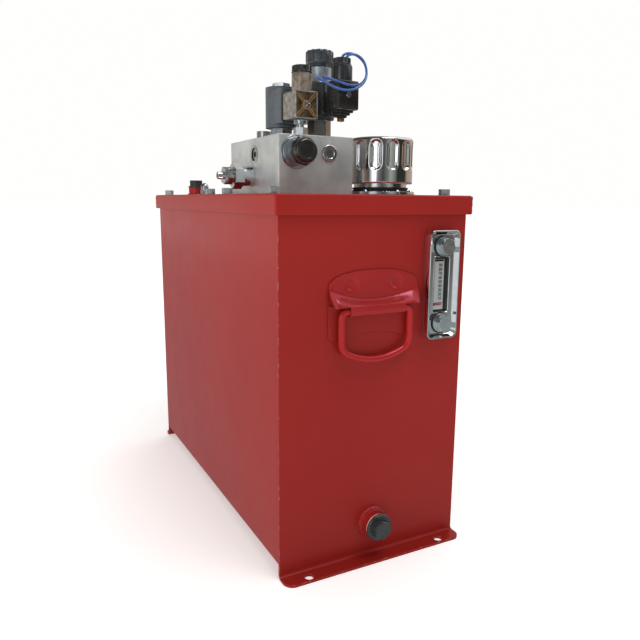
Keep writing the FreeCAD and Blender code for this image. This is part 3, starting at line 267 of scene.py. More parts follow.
def red_paint(name, wear=0.0, painted_pink_highlight=0.0, coat=0.08, gloss=0.22, sheen=(1.0, 0.62, 0.72)):
    """Semi-gloss red enamel with a fine orange peel and a painted highlight: every edge, hollow ones too,
    is mixed towards a paler red; wear bares the steel along edges.
    """
    m = Maker(name)
    edge = m.edges(1.0 * MM)
    # painted highlight: extra red in the base colour stands in for the pink reflections on the handle
    colour = m.mottle(6.0, 2.0, (0.268, 0.0145, 0.0105), (0.292 + painted_pink_highlight, 0.0170, 0.0125))
    # painted highlight: every edge, outer and hollow alike, is mixed towards a paler red
    colour = m.mix(m.ramp(edge, [(0.03, 0.0), (0.30, 0.30)]), colour, (0.58, 0.060, 0.055))
    if wear > 0:
        patches = m.mottle(210.0, 6.0, 0.0, 1.0, (0.60 - wear, 0.64 - wear), 0.65)
        bare = m.math("MULTIPLY", m.ramp(edge, [(0.03, 0.0), (0.12, 1.0)]), patches)
        colour = m.mix(bare, colour, (0.50, 0.46, 0.43))
        m.set(Metallic=m.math("MULTIPLY", bare, 0.6))
    rough = 0.30 if gloss < 0.5 else 0.17
    m.set(Coat_Weight=coat, Coat_Roughness=0.14, Specular_IOR_Level=gloss, Specular_Tint=sheen,
          Base_Color=colour, Roughness=m.mottle(25.0, 3.0, rough, rough + 0.04, (0.35, 0.65)))
    m.height(m.noise(700.0, 2.0), 0.03, 0.05 * MM, 0.7 * MM)
    return m.material


def chrome():
    m = Maker("chrome")
    m.set(Metallic=1.0, Base_Color=m.mottle(90.0, 3.0, (0.70, 0.70, 0.69), (0.80, 0.80, 0.80)),
          Roughness=m.mottle(70.0, 5.0, 0.04, 0.10, (0.35, 0.75)))
    m.height(m.noise(120.0, 2.0), 0.03, 0.08 * MM, 0.5 * MM)
    return m.material


def plated(name, base, dull, rough):
    """Zinc plate or machined steel: slightly cloudy, with edges painted brighter, partly wear and partly a
    painted highlight along every edge, hollow ones too, and faint turning marks.
    """
    m = Maker(name)
    body = m.mottle(150.0, 4.0, dull, base, (0.35, 0.65), 0.6)
    # wear and painted highlight: every edge, hollow ones too, is mixed towards a brighter metal
    wear_and_highlight = m.ramp(m.edges(0.5 * MM), [(0.04, 0.0), (0.30, 0.55)])
    m.set(Metallic=1.0, Base_Color=m.mix(wear_and_highlight, body, tinted(base, 1.3, 0.10)),
          Roughness=m.mottle(300.0, 3.0, rough, rough + 0.12))
    m.height(m.noise(500.0, 2.0, stretch=(1, 1, 0.2)), 0.02, 0.03 * MM, 0.35 * MM)
    return m.material


def milled_aluminium():
    """A milled block: satin grey with soft dark blotches, light scuffs, and edges painted near white,
    partly broken edges and partly a painted highlight along every edge, hollow ones too.
    """
    m = Maker("milled_aluminium")
    blotch = m.noise(28.0, 5.0, 0.62)
    scuff = m.noise(55.0, 6.0, 0.7, stretch=(1.0, 1.0, 0.35))
    colour = m.ramp(blotch, [(0.32, (0.50, 0.53, 0.53)), (0.55, (0.66, 0.70, 0.69)),
                             (0.72, (0.76, 0.79, 0.77))])
    colour = m.mix(m.ramp(scuff, [(0.60, 0.0), (0.74, 0.40)]), colour, (0.88, 0.90, 0.89))
    # broken edges and painted highlight: every edge, hollow ones too, is mixed towards near white
    edge = m.ramp(m.edges(0.9 * MM), [(0.03, 0.0), (0.20, 0.95)])
    m.set(Metallic=0.62, Base_Color=m.mix(edge, colour, (0.93, 0.95, 0.95)),
          Roughness=m.ramp(blotch, [(0.3, 0.34), (0.7, 0.46)]))
    m.height(scuff, 0.03, 0.06 * MM, 0.6 * MM)
    return m.material


def moulded(name, base, shade, rough, grain=0.25, coat=0.0, edge=0.5):
    """Moulded plastic: fine spark-eroded grain, slight cloudiness, and edges painted paler, partly rubbing
    and partly a painted highlight along every edge, hollow ones too.
    """
    m = Maker(name)
    # rubbing and painted highlight: every edge, hollow ones too, is mixed towards a paler colour
    rub_and_highlight = m.ramp(m.edges(0.6 * MM), [(0.04, 0.0), (0.35, 0.30)])
    m.set(Coat_Weight=coat, Coat_Roughness=0.08,
          Base_Color=m.mix(rub_and_highlight, m.mottle(120.0, 4.0, shade, base), tinted(base, 2.2, 0.02)),
          Roughness=m.mottle(220.0, 4.0, rough, rough + 0.12))
    m.height(m.noise(2600.0, 2.0), grain, 0.03 * MM, edge * MM)
    return m.material


def smoked_plastic(name, dark, pale, rough, clear=0.0, scale=190.0):
    """Brown see-through plastic, milky in patches where its inside surface is rough."""
    m = Maker(name)
    milky = m.noise(scale, 5.0, 0.62)
    # painted highlight: every edge, hollow ones too, is mixed towards a paler brown
    rim = m.ramp(m.edges(0.7 * MM), [(0.03, 0.0), (0.25, 0.65)])
    body = m.ramp(milky, [(0.36, dark), (0.66, pale)])
    m.set(IOR=1.56, Transmission_Weight=clear, Coat_Weight=0.35, Coat_Roughness=0.08,
          Base_Color=m.mix(rim, body, tinted(pale, 1.5, 0.10)),
          Roughness=m.ramp(milky, [(0.35, rough), (0.7, rough + 0.2)]))
    m.height(milky, 0.10, 0.08 * MM, 0.4 * MM)
    return m.material


def clear_glass():
    m = Maker("clear_window")
    m.set(Base_Color=(0.97, 0.98, 0.98), Transmission_Weight=1.0, IOR=1.45,
          Roughness=m.mottle(90.0, 3.0, 0.02, 0.06, (0.4, 0.7)))
    m.height(m.noise(60.0, 2.0), 0.03, 0.05 * MM)
    return m.material


def rubber():
    m = Maker("rubber")
    m.set(Base_Color=m.mottle(300.0, 4.0, (0.012, 0.012, 0.013), (0.028, 0.028, 0.03)),
          Roughness=m.mottle(500.0, 2.0, 0.62, 0.78))
    m.height(m.noise(1500.0, 3.0), 0.3, 0.05 * MM)
    return m.material


def foam():
    m = Maker("foam")
    pores = m.texture("TexVoronoi", "Distance", Scale=900.0)
    m.set(Base_Color=m.ramp(pores, [(0.1, (0.02, 0.02, 0.022)), (0.5, (0.16, 0.16, 0.17))]),
          Roughness=0.95)
    m.height(pores, 0.8, 0.6 * MM)
    return m.material


def wire_insulation():
    m = Maker("blue_insulation")
    m.set(Coat_Weight=0.6, Coat_Roughness=0.12, Roughness=m.mottle(400.0, 2.0, 0.30, 0.42),
          Base_Color=m.mottle(160.0, 3.0, (0.022, 0.075, 0.27), (0.040, 0.125, 0.39)))
    m.height(m.noise(700.0, 2.0), 0.12, 0.05 * MM)
    return m.material


def painted_plate(name, base, glow=0.0):
    m = Maker(name)
    m.set(Emission_Color=base, Emission_Strength=glow, Roughness=m.mottle(400.0, 3.0, 0.45, 0.55),
          Base_Color=m.mottle(200.0, 4.0, tinted(base, 0.92), base))
    m.height(m.noise(1200.0, 2.0), 0.08, 0.03 * MM)
    return m.material


LOOK = {
    "red": red_paint("red_paint"),
    "red_worn": red_paint("red_paint_worn", wear=0.04),
    # the ring and the glossy paint carry extra red in their base colour, a painted highlight for the
    # handle's pink reflections
    "red_ring": red_paint("red_paint_ring", painted_pink_highlight=0.12, coat=0.10, gloss=1.0, sheen=(1.0, 0.30, 0.48)),
    "red_glossy": red_paint("red_paint_glossy", painted_pink_highlight=0.03, coat=0.08, gloss=1.0, sheen=(1.0, 0.30, 0.48)),
    "chrome": chrome(),
    "zinc": plated("zinc_plate", (0.62, 0.67, 0.68), (0.47, 0.52, 0.54), 0.20),
    "bright_zinc": plated("bright_zinc", (0.86, 0.90, 0.92), (0.74, 0.79, 0.81), 0.13),
    "steel": plated("machined_steel", (0.50, 0.52, 0.52), (0.36, 0.38, 0.38), 0.24),
    "sleeve": plated("satin_sleeve", (0.66, 0.72, 0.76), (0.54, 0.60, 0.65), 0.36),
    "hex_steel": plated("grey_hexagon", (0.33, 0.31, 0.285), (0.24, 0.23, 0.21), 0.28),
    "gear": plated("ground_steel", (0.58, 0.58, 0.60), (0.50, 0.50, 0.52), 0.22),
    "cast": plated("cast_iron", (0.22, 0.22, 0.23), (0.12, 0.12, 0.13), 0.52),
    "cast_aluminium": plated("cast_aluminium", (0.55, 0.56, 0.57), (0.42, 0.43, 0.44), 0.45),
    "aluminium": milled_aluminium(),
    "black_oxide": moulded("black_oxide", (0.034, 0.035, 0.036), (0.020, 0.021, 0.022),
                           0.20, 0.06, 0.6, 0.35),
    "gloss_black": moulded("gloss_black_plastic", (0.017, 0.0165, 0.0155), (0.011, 0.0105, 0.0100),
                           0.16, 0.03, 0.9),
    "satin_black": moulded("satin_black_plastic", (0.024, 0.026, 0.028), (0.015, 0.016, 0.017),
                           0.20, 0.05, 0.5),
    "knob": moulded("knob_plastic", (0.050, 0.060, 0.066), (0.034, 0.042, 0.047), 0.15, 0.03, 0.7),
    "coil_grey": moulded("grey_overmould", (0.092, 0.106, 0.121), (0.063, 0.074, 0.086), 0.34, 0.3, 0.15),
    "coil_black": moulded("dark_overmould", (0.072, 0.080, 0.086), (0.048, 0.054, 0.058), 0.36, 0.25),
    "smoked_side": smoked_plastic("smoked_side", (0.090, 0.082, 0.068), (0.27, 0.255, 0.225), 0.30),
    "smoked_front": smoked_plastic("smoked_front", (0.018, 0.012, 0.007), (0.125, 0.082, 0.040),
                                   0.16, 0.10, 120.0),
    "smoked_neck": smoked_plastic("smoked_neck", (0.125, 0.100, 0.075), (0.30, 0.255, 0.205),
                                  0.24, 0.15, 130.0),
    "rib": moulded("smoked_rib", (0.30, 0.185, 0.085), (0.17, 0.105, 0.05), 0.22, 0.08, 0.3),
    "glass": clear_glass(),
    "rubber": rubber(),
    "seal": painted_plate("pale_seal", (0.62, 0.60, 0.55)),
    # the scale plate glows: painted light for the light that reaches it through the window
    "scale": painted_plate("scale_plate", (0.85, 0.86, 0.83), glow=0.20),
    "ink": painted_plate("scale_ink", (0.02, 0.02, 0.022)),
    "red_ink": painted_plate("red_ink", (0.60, 0.012, 0.020)),
    # near black: painted shade for the deep gauge window and the sunk port
    "painted_recess_shade": painted_plate("painted_recess_shade", (0.022, 0.018, 0.015)),
    "foam": foam(),
    "blue": wire_insulation(),
    "copper": plated("copper_pin", (0.75, 0.40, 0.20), (0.55, 0.28, 0.13), 0.3),
}

DRESS = {
    "red": "tank_wrap rim_frame lid",
    "red_glossy": "drain_boss lid_port_boss",
    "red_ring": "front_handle_ring rear_handle_ring",
    "red_worn": "front_end_plate rear_end_plate",
    "rubber": "lid_gasket",
    "zinc": "lid_fasteners breather_screws breather_basket bleed_screw valve_a_tube coil_a_nut "
            "suction_strainer block_plugs",
    "bright_zinc": "gauge_fasteners relief_valve relief_lock_nut relief_screw",
    "seal": "drain_seal",
    "black_oxide": "lid_port_plug socket_screws",
    "glass": "gauge_lens",
    "scale": "gauge_scale",
    "chrome": "breather_flange",
    "foam": "breather_foam",
    "satin_black": "cable_gland",
    "gloss_black": "port_cap",
    "aluminium": "manifold_block",
    "steel": "valve_a_plunger valve_b_plunger oil_pipes",
    "coil_grey": "coil_a",
    "coil_black": "coil_b",
    "sleeve": "valve_b_tube port_adapter",
    "gear": "motor_stator motor_rotor motor_bearings drive_gear driven_gear",
    "cast": "pump_body pump_cover",
    "cast_aluminium": "motor_shell motor_end_bells",
}


def dress_frame():
    """Give each CAD node that stays in view its material."""
    for look, names in DRESS.items():
        for name in names.split():
            for place in NODES[name].material_slots:
                place.material = LOOK[look]


# ---- mesh helpers
def soften(obj, width, segments, angle):
    """Round the edges that are sharper than an angle in degrees."""
    modifier = obj.modifiers.new("edges", "BEVEL")
    modifier.width = width * MM
    modifier.segments = segments
    modifier.limit_method = "ANGLE"
    modifier.angle_limit = math.radians(angle)
    return modifier


def piece(name, build, look, slot, body="tank", bevel=0.0, replaces=(), smooth=35):
    """Make an object from a bmesh-building function, in millimetres, and put it on its body."""
    bm = bmesh.new()
    build(bm)
    bmesh.ops.remove_doubles(bm, verts=bm.verts, dist=0.0005)
    bmesh.ops.recalc_face_normals(bm, faces=bm.faces)
    bmesh.ops.scale(bm, vec=(MM, MM, MM), verts=bm.verts)
    mesh = bpy.data.meshes.new(name)
    bm.to_mesh(mesh)
    bm.free()
    for polygon in mesh.polygons:
        polygon.use_smooth = True
    mesh.set_sharp_from_angle(angle=math.radians(smooth))
    mesh.materials.append(LOOK[look])
    obj = add_object(name, mesh)
    if bevel > 0:
        soften(obj, bevel, 3, 40).harden_normals = True
    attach(obj, body)
    if replaces:
        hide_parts(*replaces)
    return obj


def middle_of(node):
    """A node's centre and corners, in millimetres."""
    low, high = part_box(node)
    return (low + high) / 2 / MM, low / MM, high / MM


def turn_to(axis):
    """The rotation that takes +Z to an axis."""
    return Vector((0, 0, 1)).rotation_difference(Vector(axis)).to_matrix().to_4x4()


def facing_front(x, y, z):
    """A frame on a front-facing surface: its X to the right, Y up and Z out towards the viewer."""
    return Matrix.Translation((x, y, z)) @ Matrix(((1, 0, 0), (0, 0, -1), (0, 1, 0))).to_4x4()


def ease(t):
    """0 to 1 with a level start and end."""
    return t * t * (3 - 2 * t)


def vertices(bm, place, points):
    return [bm.verts.new(place @ Vector(point)) for point in points]


def skin(bm, rings, closed=True):
    """Faces between neighbouring rings of vertices; a ring may be a single point."""
    for low, high in zip(rings, rings[1:]):
        count = max(len(low), len(high))
        for i in range(count if closed else count - 1):
            j = (i + 1) % count
            corners = [low[i % len(low)], low[j % len(low)], high[j % len(high)], high[i % len(high)]]
            corners = list(dict.fromkeys(corners))
            if len(corners) > 2:
                bm.faces.new(corners)


def lathe(bm, profile, centre, axis=(0, 0, 1), steps=64, shape=None):
    """Revolve (radius, height) points; shape(angle, radius, height) may change the radius."""
    place = Matrix.Translation(centre) @ turn_to(axis)
    rings = []
    for radius, height in profile:
        points = []
        for i in range(steps if radius else 1):
            angle = 2 * math.pi * i / steps
            r = shape(angle, radius, height) if shape and radius else radius
            points.append((r * math.cos(angle), r * math.sin(angle), height))
        rings.append(vertices(bm, place, points))
    skin(bm, rings)


def turned(name, profile, centre, look, slot, axis=(0, 0, 1), steps=64, shape=None, **settings):
    """A piece that is one revolved profile."""
    return piece(name, lambda bm: lathe(bm, profile, centre, axis, steps, shape), look, slot, **settings)


def inside(radius, base, *steps):
    """Profile points, each a step in from a radius and up from a base."""
    return [(radius - inset, base + rise) for inset, rise in steps]


def flat_sided(count, flats, turn, applies):
    """A lathe shape with flat sides at a distance from the axis, where applies(radius, height) holds."""
    def shape(angle, r, height):
        if not applies(r, height):
            return r
        local = (angle - turn) % (2 * math.pi / count) - math.pi / count
        return min(r, flats / math.cos(local))
    return shape


def block(bm, low, high, place):
    """A box between two corners, moved by a matrix."""
    corners = vertices(bm, place, [(x, y, z) for x in (low[0], high[0]) for y in (low[1], high[1])
                                   for z in (low[2], high[2])])
    for face in ((0, 1, 3, 2), (4, 6, 7, 5), (0, 4, 5, 1), (2, 3, 7, 6), (0, 2, 6, 4), (1, 5, 7, 3)):
        bm.faces.new([corners[i] for i in face])


def rounded_loop(half_w, half_h, radius, steps=8):
    """Points of a rounded rectangle."""
    points = []
    for cx, cy, start in ((1, 1, 0), (-1, 1, 90), (-1, -1, 180), (1, -1, 270)):
        for i in range(steps + 1):
            angle = math.radians(start + 90 * i / steps)
            points.append((cx * (half_w - radius) + radius * math.cos(angle),
                           cy * (half_h - radius) + radius * math.sin(angle)))
    return points


def loft(bm, loops, place, cap_first=True, cap_last=True):
    """Join rounded rectangles (half width, half height, corner radius, depth) into a skin."""
    rings = [vertices(bm, place, [(x, y, depth) for x, y in rounded_loop(half_w, half_h, radius)])
             for half_w, half_h, radius, depth in loops]
    skin(bm, rings)
    if cap_first:
        bm.faces.new(rings[0][::-1])
    if cap_last:
        bm.faces.new(rings[-1])


def slotted_screw(bm, place, radius, height):
    """A cheese-head screw with a straight slot, standing out along the place's Z."""
    slot = radius * 0.16
    steps = 20
    limit = math.asin(slot / radius)
    arc = [limit + (math.pi - 2 * limit) * i / steps for i in range(steps + 1)]
    for side in (-1, 1):
        outline = [(radius * math.cos(a), side * radius * math.sin(a)) for a in arc]
        bottom = vertices(bm, place, [(x, y, 0) for x, y in outline])
        top = vertices(bm, place, [(x * 0.94, y if abs(y) < slot * 1.2 else y * 0.94, height)
                                   for x, y in outline])
        skin(bm, [bottom, top])
        bm.faces.new(top)
        bm.faces.new(bottom[::-1])
    lathe(bm, [(0, -0.2), (radius * 0.98, -0.2), (radius * 0.98, height * 0.45), (0, height * 0.45)],
          place.translation, place.col[2].to_3d(), 32)


# ---- filler breather
CAP_FLUTES = 12
CAP_FLUTE_START = math.radians(3.6)
CAP_FLUTE_HALF = 7.4
CAP_FLUTE_DEPTH = 2.9
CAP_SKIRT_HEIGHT = 14.0
CAP_SHOULDER = 4.0
CAP_ROW = 0.9  # height of one row of faces on the cap's side


def filler_cap():
    """A domed cap with a ring of upright flutes pressed into its side, each closed at both ends."""
    centre, low, high = middle_of("breather_cap")
    radius = (high.x - low.x) / 2
    skirt, top = low.z, high.z
    flute_low = skirt + CAP_SKIRT_HEIGHT + CAP_FLUTE_HALF
    flute_high = top - 3.8 - CAP_FLUTE_HALF
    pitch = 2 * math.pi / CAP_FLUTES

    def shape(angle, r, height):
        if r < radius * 0.55:
            return r
        along = (((angle - CAP_FLUTE_START) % pitch) / pitch - 0.5) * pitch * radius
        beyond = max(0.0, flute_low - height, height - flute_high)
        distance = math.hypot(along, beyond) / CAP_FLUTE_HALF
        if distance >= 1:
            return r
        endwise = beyond / max(0.001, math.hypot(along, beyond))
        wall = min(1.0, (1 - distance) / (0.62 - 0.45 * endwise))
        return min(r, radius - CAP_FLUTE_DEPTH * ease(wall))

    profile = inside(radius, skirt, (4.0, 6), (4.0, 0), (0.4, 0), (0, 0.4))
    rows = int((top - skirt - CAP_SHOULDER - 0.4) / CAP_ROW)
    profile += [(radius, skirt + 0.8 + CAP_ROW * i) for i in range(1, rows + 1)]
    last = profile[-1][1]
    for i in range(1, 9):
        angle = math.pi / 2 * i / 8
        profile.append((radius - CAP_SHOULDER * (1 - math.cos(angle)),
                        last + (top - 0.4 - last) * math.sin(angle)))
    profile += inside(radius, top, (4.8, -0.6), (5.6, -1.0), (6.6, -0.6))
    profile += [(radius * 0.5, top - 0.2), (radius * 0.2, top), (0, top)]
    turned("filler_cap", profile, (centre.x, centre.y, 0), "chrome", "chrome", steps=CAP_FLUTES * 28,
           shape=shape, body="cap_shell", replaces=["breather_cap"], smooth=50)


def breather_collar():
    """The gasket under the flange and the ribbed neck under the cap."""
    centre, low, high = middle_of("breather_flange")
    radius = (high.x - low.x) / 2
    gasket = inside(radius, low.z, (3, 0.05), (-0.9, 0.05), (-1.2, 0.7), (-0.9, 1.3), (-0.2, 1.3))
    neck = ((29.0, 4.0), (31.0, 4.1), (31.3, 4.6), (31.0, 5.4), (30.0, 5.6), (29.8, 6.4),
            (30.8, 6.9), (31.0, 7.6), (30.8, 8.3), (29.2, 8.6))
    turned("breather_gasket", gasket, (centre.x, centre.y, 0), "rubber", "black_rubber")
    turned("breather_neck_rings", neck, (centre.x, centre.y, low.z), "rubber", "black_rubber")


# ---- level gauge
GAUGE_RECESS = 4.9
GAUGE_POCKET = 9.5
GAUGE_WINDOW = (8.85, 27.3)  # half width and half height
GAUGE_BOLTS = (-38.0, 38.0)


def level_gauge():
    """The plated frame, with a raised rim that slopes down to the face, and its deep window, kept dark
    with painted shade.
    """
    centre, low, high = middle_of("gauge_housing")
    size = high - low
    depth = size.y
    face, bottom = depth - GAUGE_RECESS, depth - GAUGE_POCKET
    place = facing_front(centre.x, high.y, centre.z)

    def ring(inset, radius, level):
        return size.x / 2 - inset, size.z / 2 - inset, radius, level

    def lip(out, radius, level, out_h=None):
        return GAUGE_WINDOW[0] + out, GAUGE_WINDOW[1] + (out if out_h is None else out_h), radius, level

    def housing(bm):
        loft(bm, [ring(0, 6.4, 0.0), ring(0, 6.4, depth - 1.2), ring(0.3, 6.2, depth - 0.4),
                  ring(0.9, 5.9, depth), ring(1.6, 5.6, depth - 0.2), ring(3.6, 4.6, face + 1.2),
                  ring(4.4, 4.0, face + 0.2), ring(5.0, 3.6, face), ring(5.3, 3.4, face),
                  lip(1.9, 3.0, face), lip(1.6, 2.9, face), lip(1.2, 2.7, face + 0.6),
                  lip(0.5, 2.3, face + 0.6), lip(0, 2.0, face), lip(0, 2.0, bottom)], place,
             cap_last=False)

    def floor(bm):
        loft(bm, [lip(-0.02, 2.0, bottom - 0.6), lip(-0.02, 2.0, bottom - 0.1)], place)

    def liner(bm):
        """The near-black lining of the window beside the scale: painted shade in the deep pocket."""
        loft(bm, [lip(-0.05, 2.0, bottom), lip(-0.05, 2.0, face - 3.2), lip(-0.5, 1.4, face - 3.2, -1.0),
                  lip(-0.5, 1.4, bottom, -1.0)], place, cap_first=False, cap_last=False)

    # a black rubber ring under each bolt head, whose dark crescent beside each washer is also painted
    # shade
    def seal_shade_rings(bm):
        for z in GAUGE_BOLTS:
            lathe(bm, [(8.0, face + 0.05), (10.5, face + 0.05), (10.7, face + 0.5), (10.4, face + 1.0),
                       (8.0, face + 1.0)], place @ Vector((0, z, 0)), FRONT, 48)

    piece("gauge_seal_shade_rings", seal_shade_rings, "rubber", "black_rubber")
    piece("gauge_frame", housing, "chrome", "chrome", replaces=["gauge_housing"], smooth=28)
    # painted shade: the floor and lining of the deep window are near black
    piece("gauge_recess", floor, "painted_recess_shade", "black_plastic")
    piece("gauge_liner", liner, "painted_recess_shade", "black_plastic", smooth=28)
    gauge_marks(place, high.y)


def gauge_marks(place, back):
    """Ticks, generic numbers and the red low mark on the scale plate."""
    low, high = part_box("gauge_scale")
    centre, _, _ = middle_of("gauge_housing")
    left, right = low.x / MM - centre.x, high.x / MM - centre.x
    bottom, top = low.z / MM - centre.z, high.z / MM - centre.z
    face = back - low.y / MM + 0.03
    ink = face + 0.06
    rows = 9
    first = bottom + 9.0
    step = (top - 4.0 - first) / rows

    def ticks(bm):
        for i in range(rows * 5 + 1):
            y = first + step * i / 5
            length = 2.4 if i % 5 == 0 else 1.3
            block(bm, (left + 0.3, y - 0.10, face), (left + 0.3 + length, y + 0.10, ink), place)
        block(bm, (left + 0.3, top - 2.2, face), (right - 0.6, top - 0.2, ink), place)

    def red_mark(bm):
        y = bottom + 5.2
        block(bm, (left + 2.6, y + 0.5, face), (right - 1.2, y + 1.7, ink), place)
        block(bm, (left + 2.6, y - 1.0, face), (right - 1.8, y + 0.1, ink), place)
        lathe(bm, [(0, 0), (1.6, 0), (1.6, 0.06), (0, 0.06)], place @ Vector((left + 2.0, y, face)),
              FRONT, 24)

    piece("gauge_ticks", ticks, "ink", "black_plastic", smooth=20)
    piece("gauge_red_mark", red_mark, "red_ink", "red_paint", smooth=20)
    for i in range(rows):
        y = first + step * (i + 0.5)
        name = f"gauge_number_{i + 1}"
        number = bpy.data.curves.new(name, "FONT")
        number.body = str(10 * (i + 1))
        number.size = 4.4 * MM
        number.extrude = 0.03 * MM
        number.offset = 0.09 * MM
        number.align_x = "RIGHT"
        number.align_y = "CENTER"
        obj = add_object(name, number)
        spot = place @ Vector((right - 2.2, y, face + 0.04))
        obj.matrix_world = Matrix.Translation(spot * MM) @ place.to_3x3().to_4x4()
        number.materials.append(LOOK["ink"])
        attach(obj, "tank")


# ---- carrying handles
HANDLE_COLUMNS = 96
HANDLE_ROWS = 60
HANDLE_FOLD = 261.0  # height where the cover ends and the back plate shows
HANDLE_BACK = 1.5
HANDLE_SHEET = 1.4
CREASE = 266.5  # height where the flare starts, in the middle of the cover
FLARE_OUT = 9.3
DIMPLES = (-25.0, 24.5)
DIMPLE_Z = 281.0
DIMPLE_RADIUS = 9.0
PIVOT_Z = 256.5
PIVOT_OUT = 6.5
PIVOT_WRAP = 4.15  # radius of the tongue round the pivot rod


def handle_plate(side, turn):
    """A pressed plate: flat behind, flared out over the ring, with two deep dimples."""
    centre, low, high = middle_of("front_handle_plate")
    half = (high.x - low.x) / 2
    place = Matrix.Rotation(turn, 4, "Z") @ facing_front(centre.x, high.y, 0)

    def out(x, z, u):
        """How far the cover stands out from the tank, u being the fraction across."""
        crease = CREASE + 13.0 * abs(u) ** 2.4
        part = max(0.0, crease - z) / (crease - HANDLE_FOLD)
        tongue = min(1.0, max(0.0, (0.95 - abs(u)) / 0.08))
        level = 1.8 + FLARE_OUT * (tongue * ease(part) + (1 - tongue) * part ** 1.35)
        for dimple in DIMPLES:
            away = math.hypot(x - dimple, (z - DIMPLE_Z) * 1.05)
            if away < DIMPLE_RADIUS:
                dish = 0.5 + 0.5 * math.cos(math.pi * away / DIMPLE_RADIUS)
                level -= 1.75 * min(1.0, dish * 1.7)
        return level

    def upper(bm):
        grid = []
        for row in range(HANDLE_ROWS + 1):
            v = row / HANDLE_ROWS
            lean = 1.0 - 0.045 * (1 - min(1.0, v / 0.55))
            line = []
            for column in range(HANDLE_COLUMNS + 1):
                u = 2 * column / HANDLE_COLUMNS - 1
                arch = high.z - 9.5 * abs(u) ** 2.6 - 3.0 * max(0.0, abs(u) - 0.86) ** 2 * 50
                z = HANDLE_FOLD + (arch - HANDLE_FOLD) * v
                x = u * (half - 0.2) * lean
                line.append((x, z, out(x, z, u)))
            grid.append(vertices(bm, place, line))
        skin(bm, grid, closed=False)

    def lower(bm):
        corner = 6.0
        bottom = 235.0
        belly = 33.5
        arc = [math.radians(15 * i) for i in range(7)]
        outline = [(-half, HANDLE_FOLD + 1)]
        outline += [(-half + corner - corner * math.cos(a), bottom - corner * math.sin(a)) for a in arc]
        for i in range(25):
            x = -belly + 2 * belly * i / 24
            outline.append((x, bottom - corner + 6 * (1 - (x / belly) ** 2)))
        outline += [(half - corner + corner * math.sin(a), bottom - corner * math.cos(a)) for a in arc]
        outline.append((half, HANDLE_FOLD + 1))
        rings = [vertices(bm, place, [(x, z, level) for x, z in outline]) for level in (0.05, HANDLE_BACK)]
        skin(bm, rings)
        bm.faces.new(rings[1])
        bm.faces.new(rings[0][::-1])

    def knuckle(bm):
        """The tongue that wraps round the ring's pivot rod."""
        half_k = 30.5
        rows = [(10.3, HANDLE_FOLD + 0.8), (10.4, HANDLE_FOLD), (10.5, HANDLE_FOLD - 2.0),
                (10.65, HANDLE_FOLD - 3.6)]
        rows += [(PIVOT_OUT + PIVOT_WRAP * math.cos(a), PIVOT_Z + PIVOT_WRAP * math.sin(a))
                 for a in (math.radians(-10 * i) for i in range(26))]
        skin(bm, [vertices(bm, place, [(x, z, y) for x in (-half_k, -half_k / 3, half_k / 3, half_k)])
                  for y, z in rows], closed=False)

    cover = piece(f"{side}_handle_cover", upper, "red_glossy", "red_paint",
                  replaces=[f"{side}_handle_plate"], smooth=60)
    tongue = piece(f"{side}_handle_knuckle", knuckle, "red_glossy", "red_paint", smooth=60)
    piece(f"{side}_handle_back", lower, "red", "red_paint", bevel=0.4)
    for sheet, offset in ((cover, -1), (tongue, 0)):
        thick = sheet.modifiers.new("sheet", "SOLIDIFY")
        thick.thickness = HANDLE_SHEET * MM
        thick.offset = offset
        soften(sheet, 0.35, 2, 50)


# ---- valve plugs and knob
VALVE_A = ((-32.4, -60.0), 3.4)  # axis, and degrees that its plug faces to the right
VALVE_B = ((3.6, -80.0), 6.6)
PLUG_A_Z = (438.2, 465.4)
PLUG_B_Z = (448.0, 476.2)


def plug_frame(valve, level, out):
    """A frame on a valve's plug: X to the right, Y up and Z out, this far out from the valve's axis."""
    (x, y), degrees = valve
    spin = Matrix.Translation((x, y, 0)) @ Matrix.Rotation(math.radians(degrees), 4, "Z")
    return spin @ facing_front(0, -out, level)


class Plug:
    """The box of a cable plug: its frames at the back and front, and loops set in from its outline."""

    def __init__(self, valve, heights, near, far, half_w):
        level = sum(heights) / 2
        self.half_w, self.half_h = half_w, (heights[1] - heights[0]) / 2
        self.length = far - near
        self.back, self.front = plug_frame(valve, level, near), plug_frame(valve, level, far)

    def loop(self, inset_w, inset_h, radius, depth):
        return self.half_w - inset_w, self.half_h - inset_h, radius, depth

    def gasket(self, name, out_w):
        loops = [self.loop(-out_w, -0.4, 2, depth) for depth in (-0.4, 1.2)]
        piece(name, lambda bm: loft(bm, loops, self.back), "rubber", "black_rubber", bevel=0.4)

    def screw(self, name, place, turn, radius, height):
        spot = self.front @ Matrix.Translation(place) @ Matrix.Rotation(turn, 4, "Z")
        piece(name, lambda bm: slotted_screw(bm, spot, radius, height), "bright_zinc", "zinc")


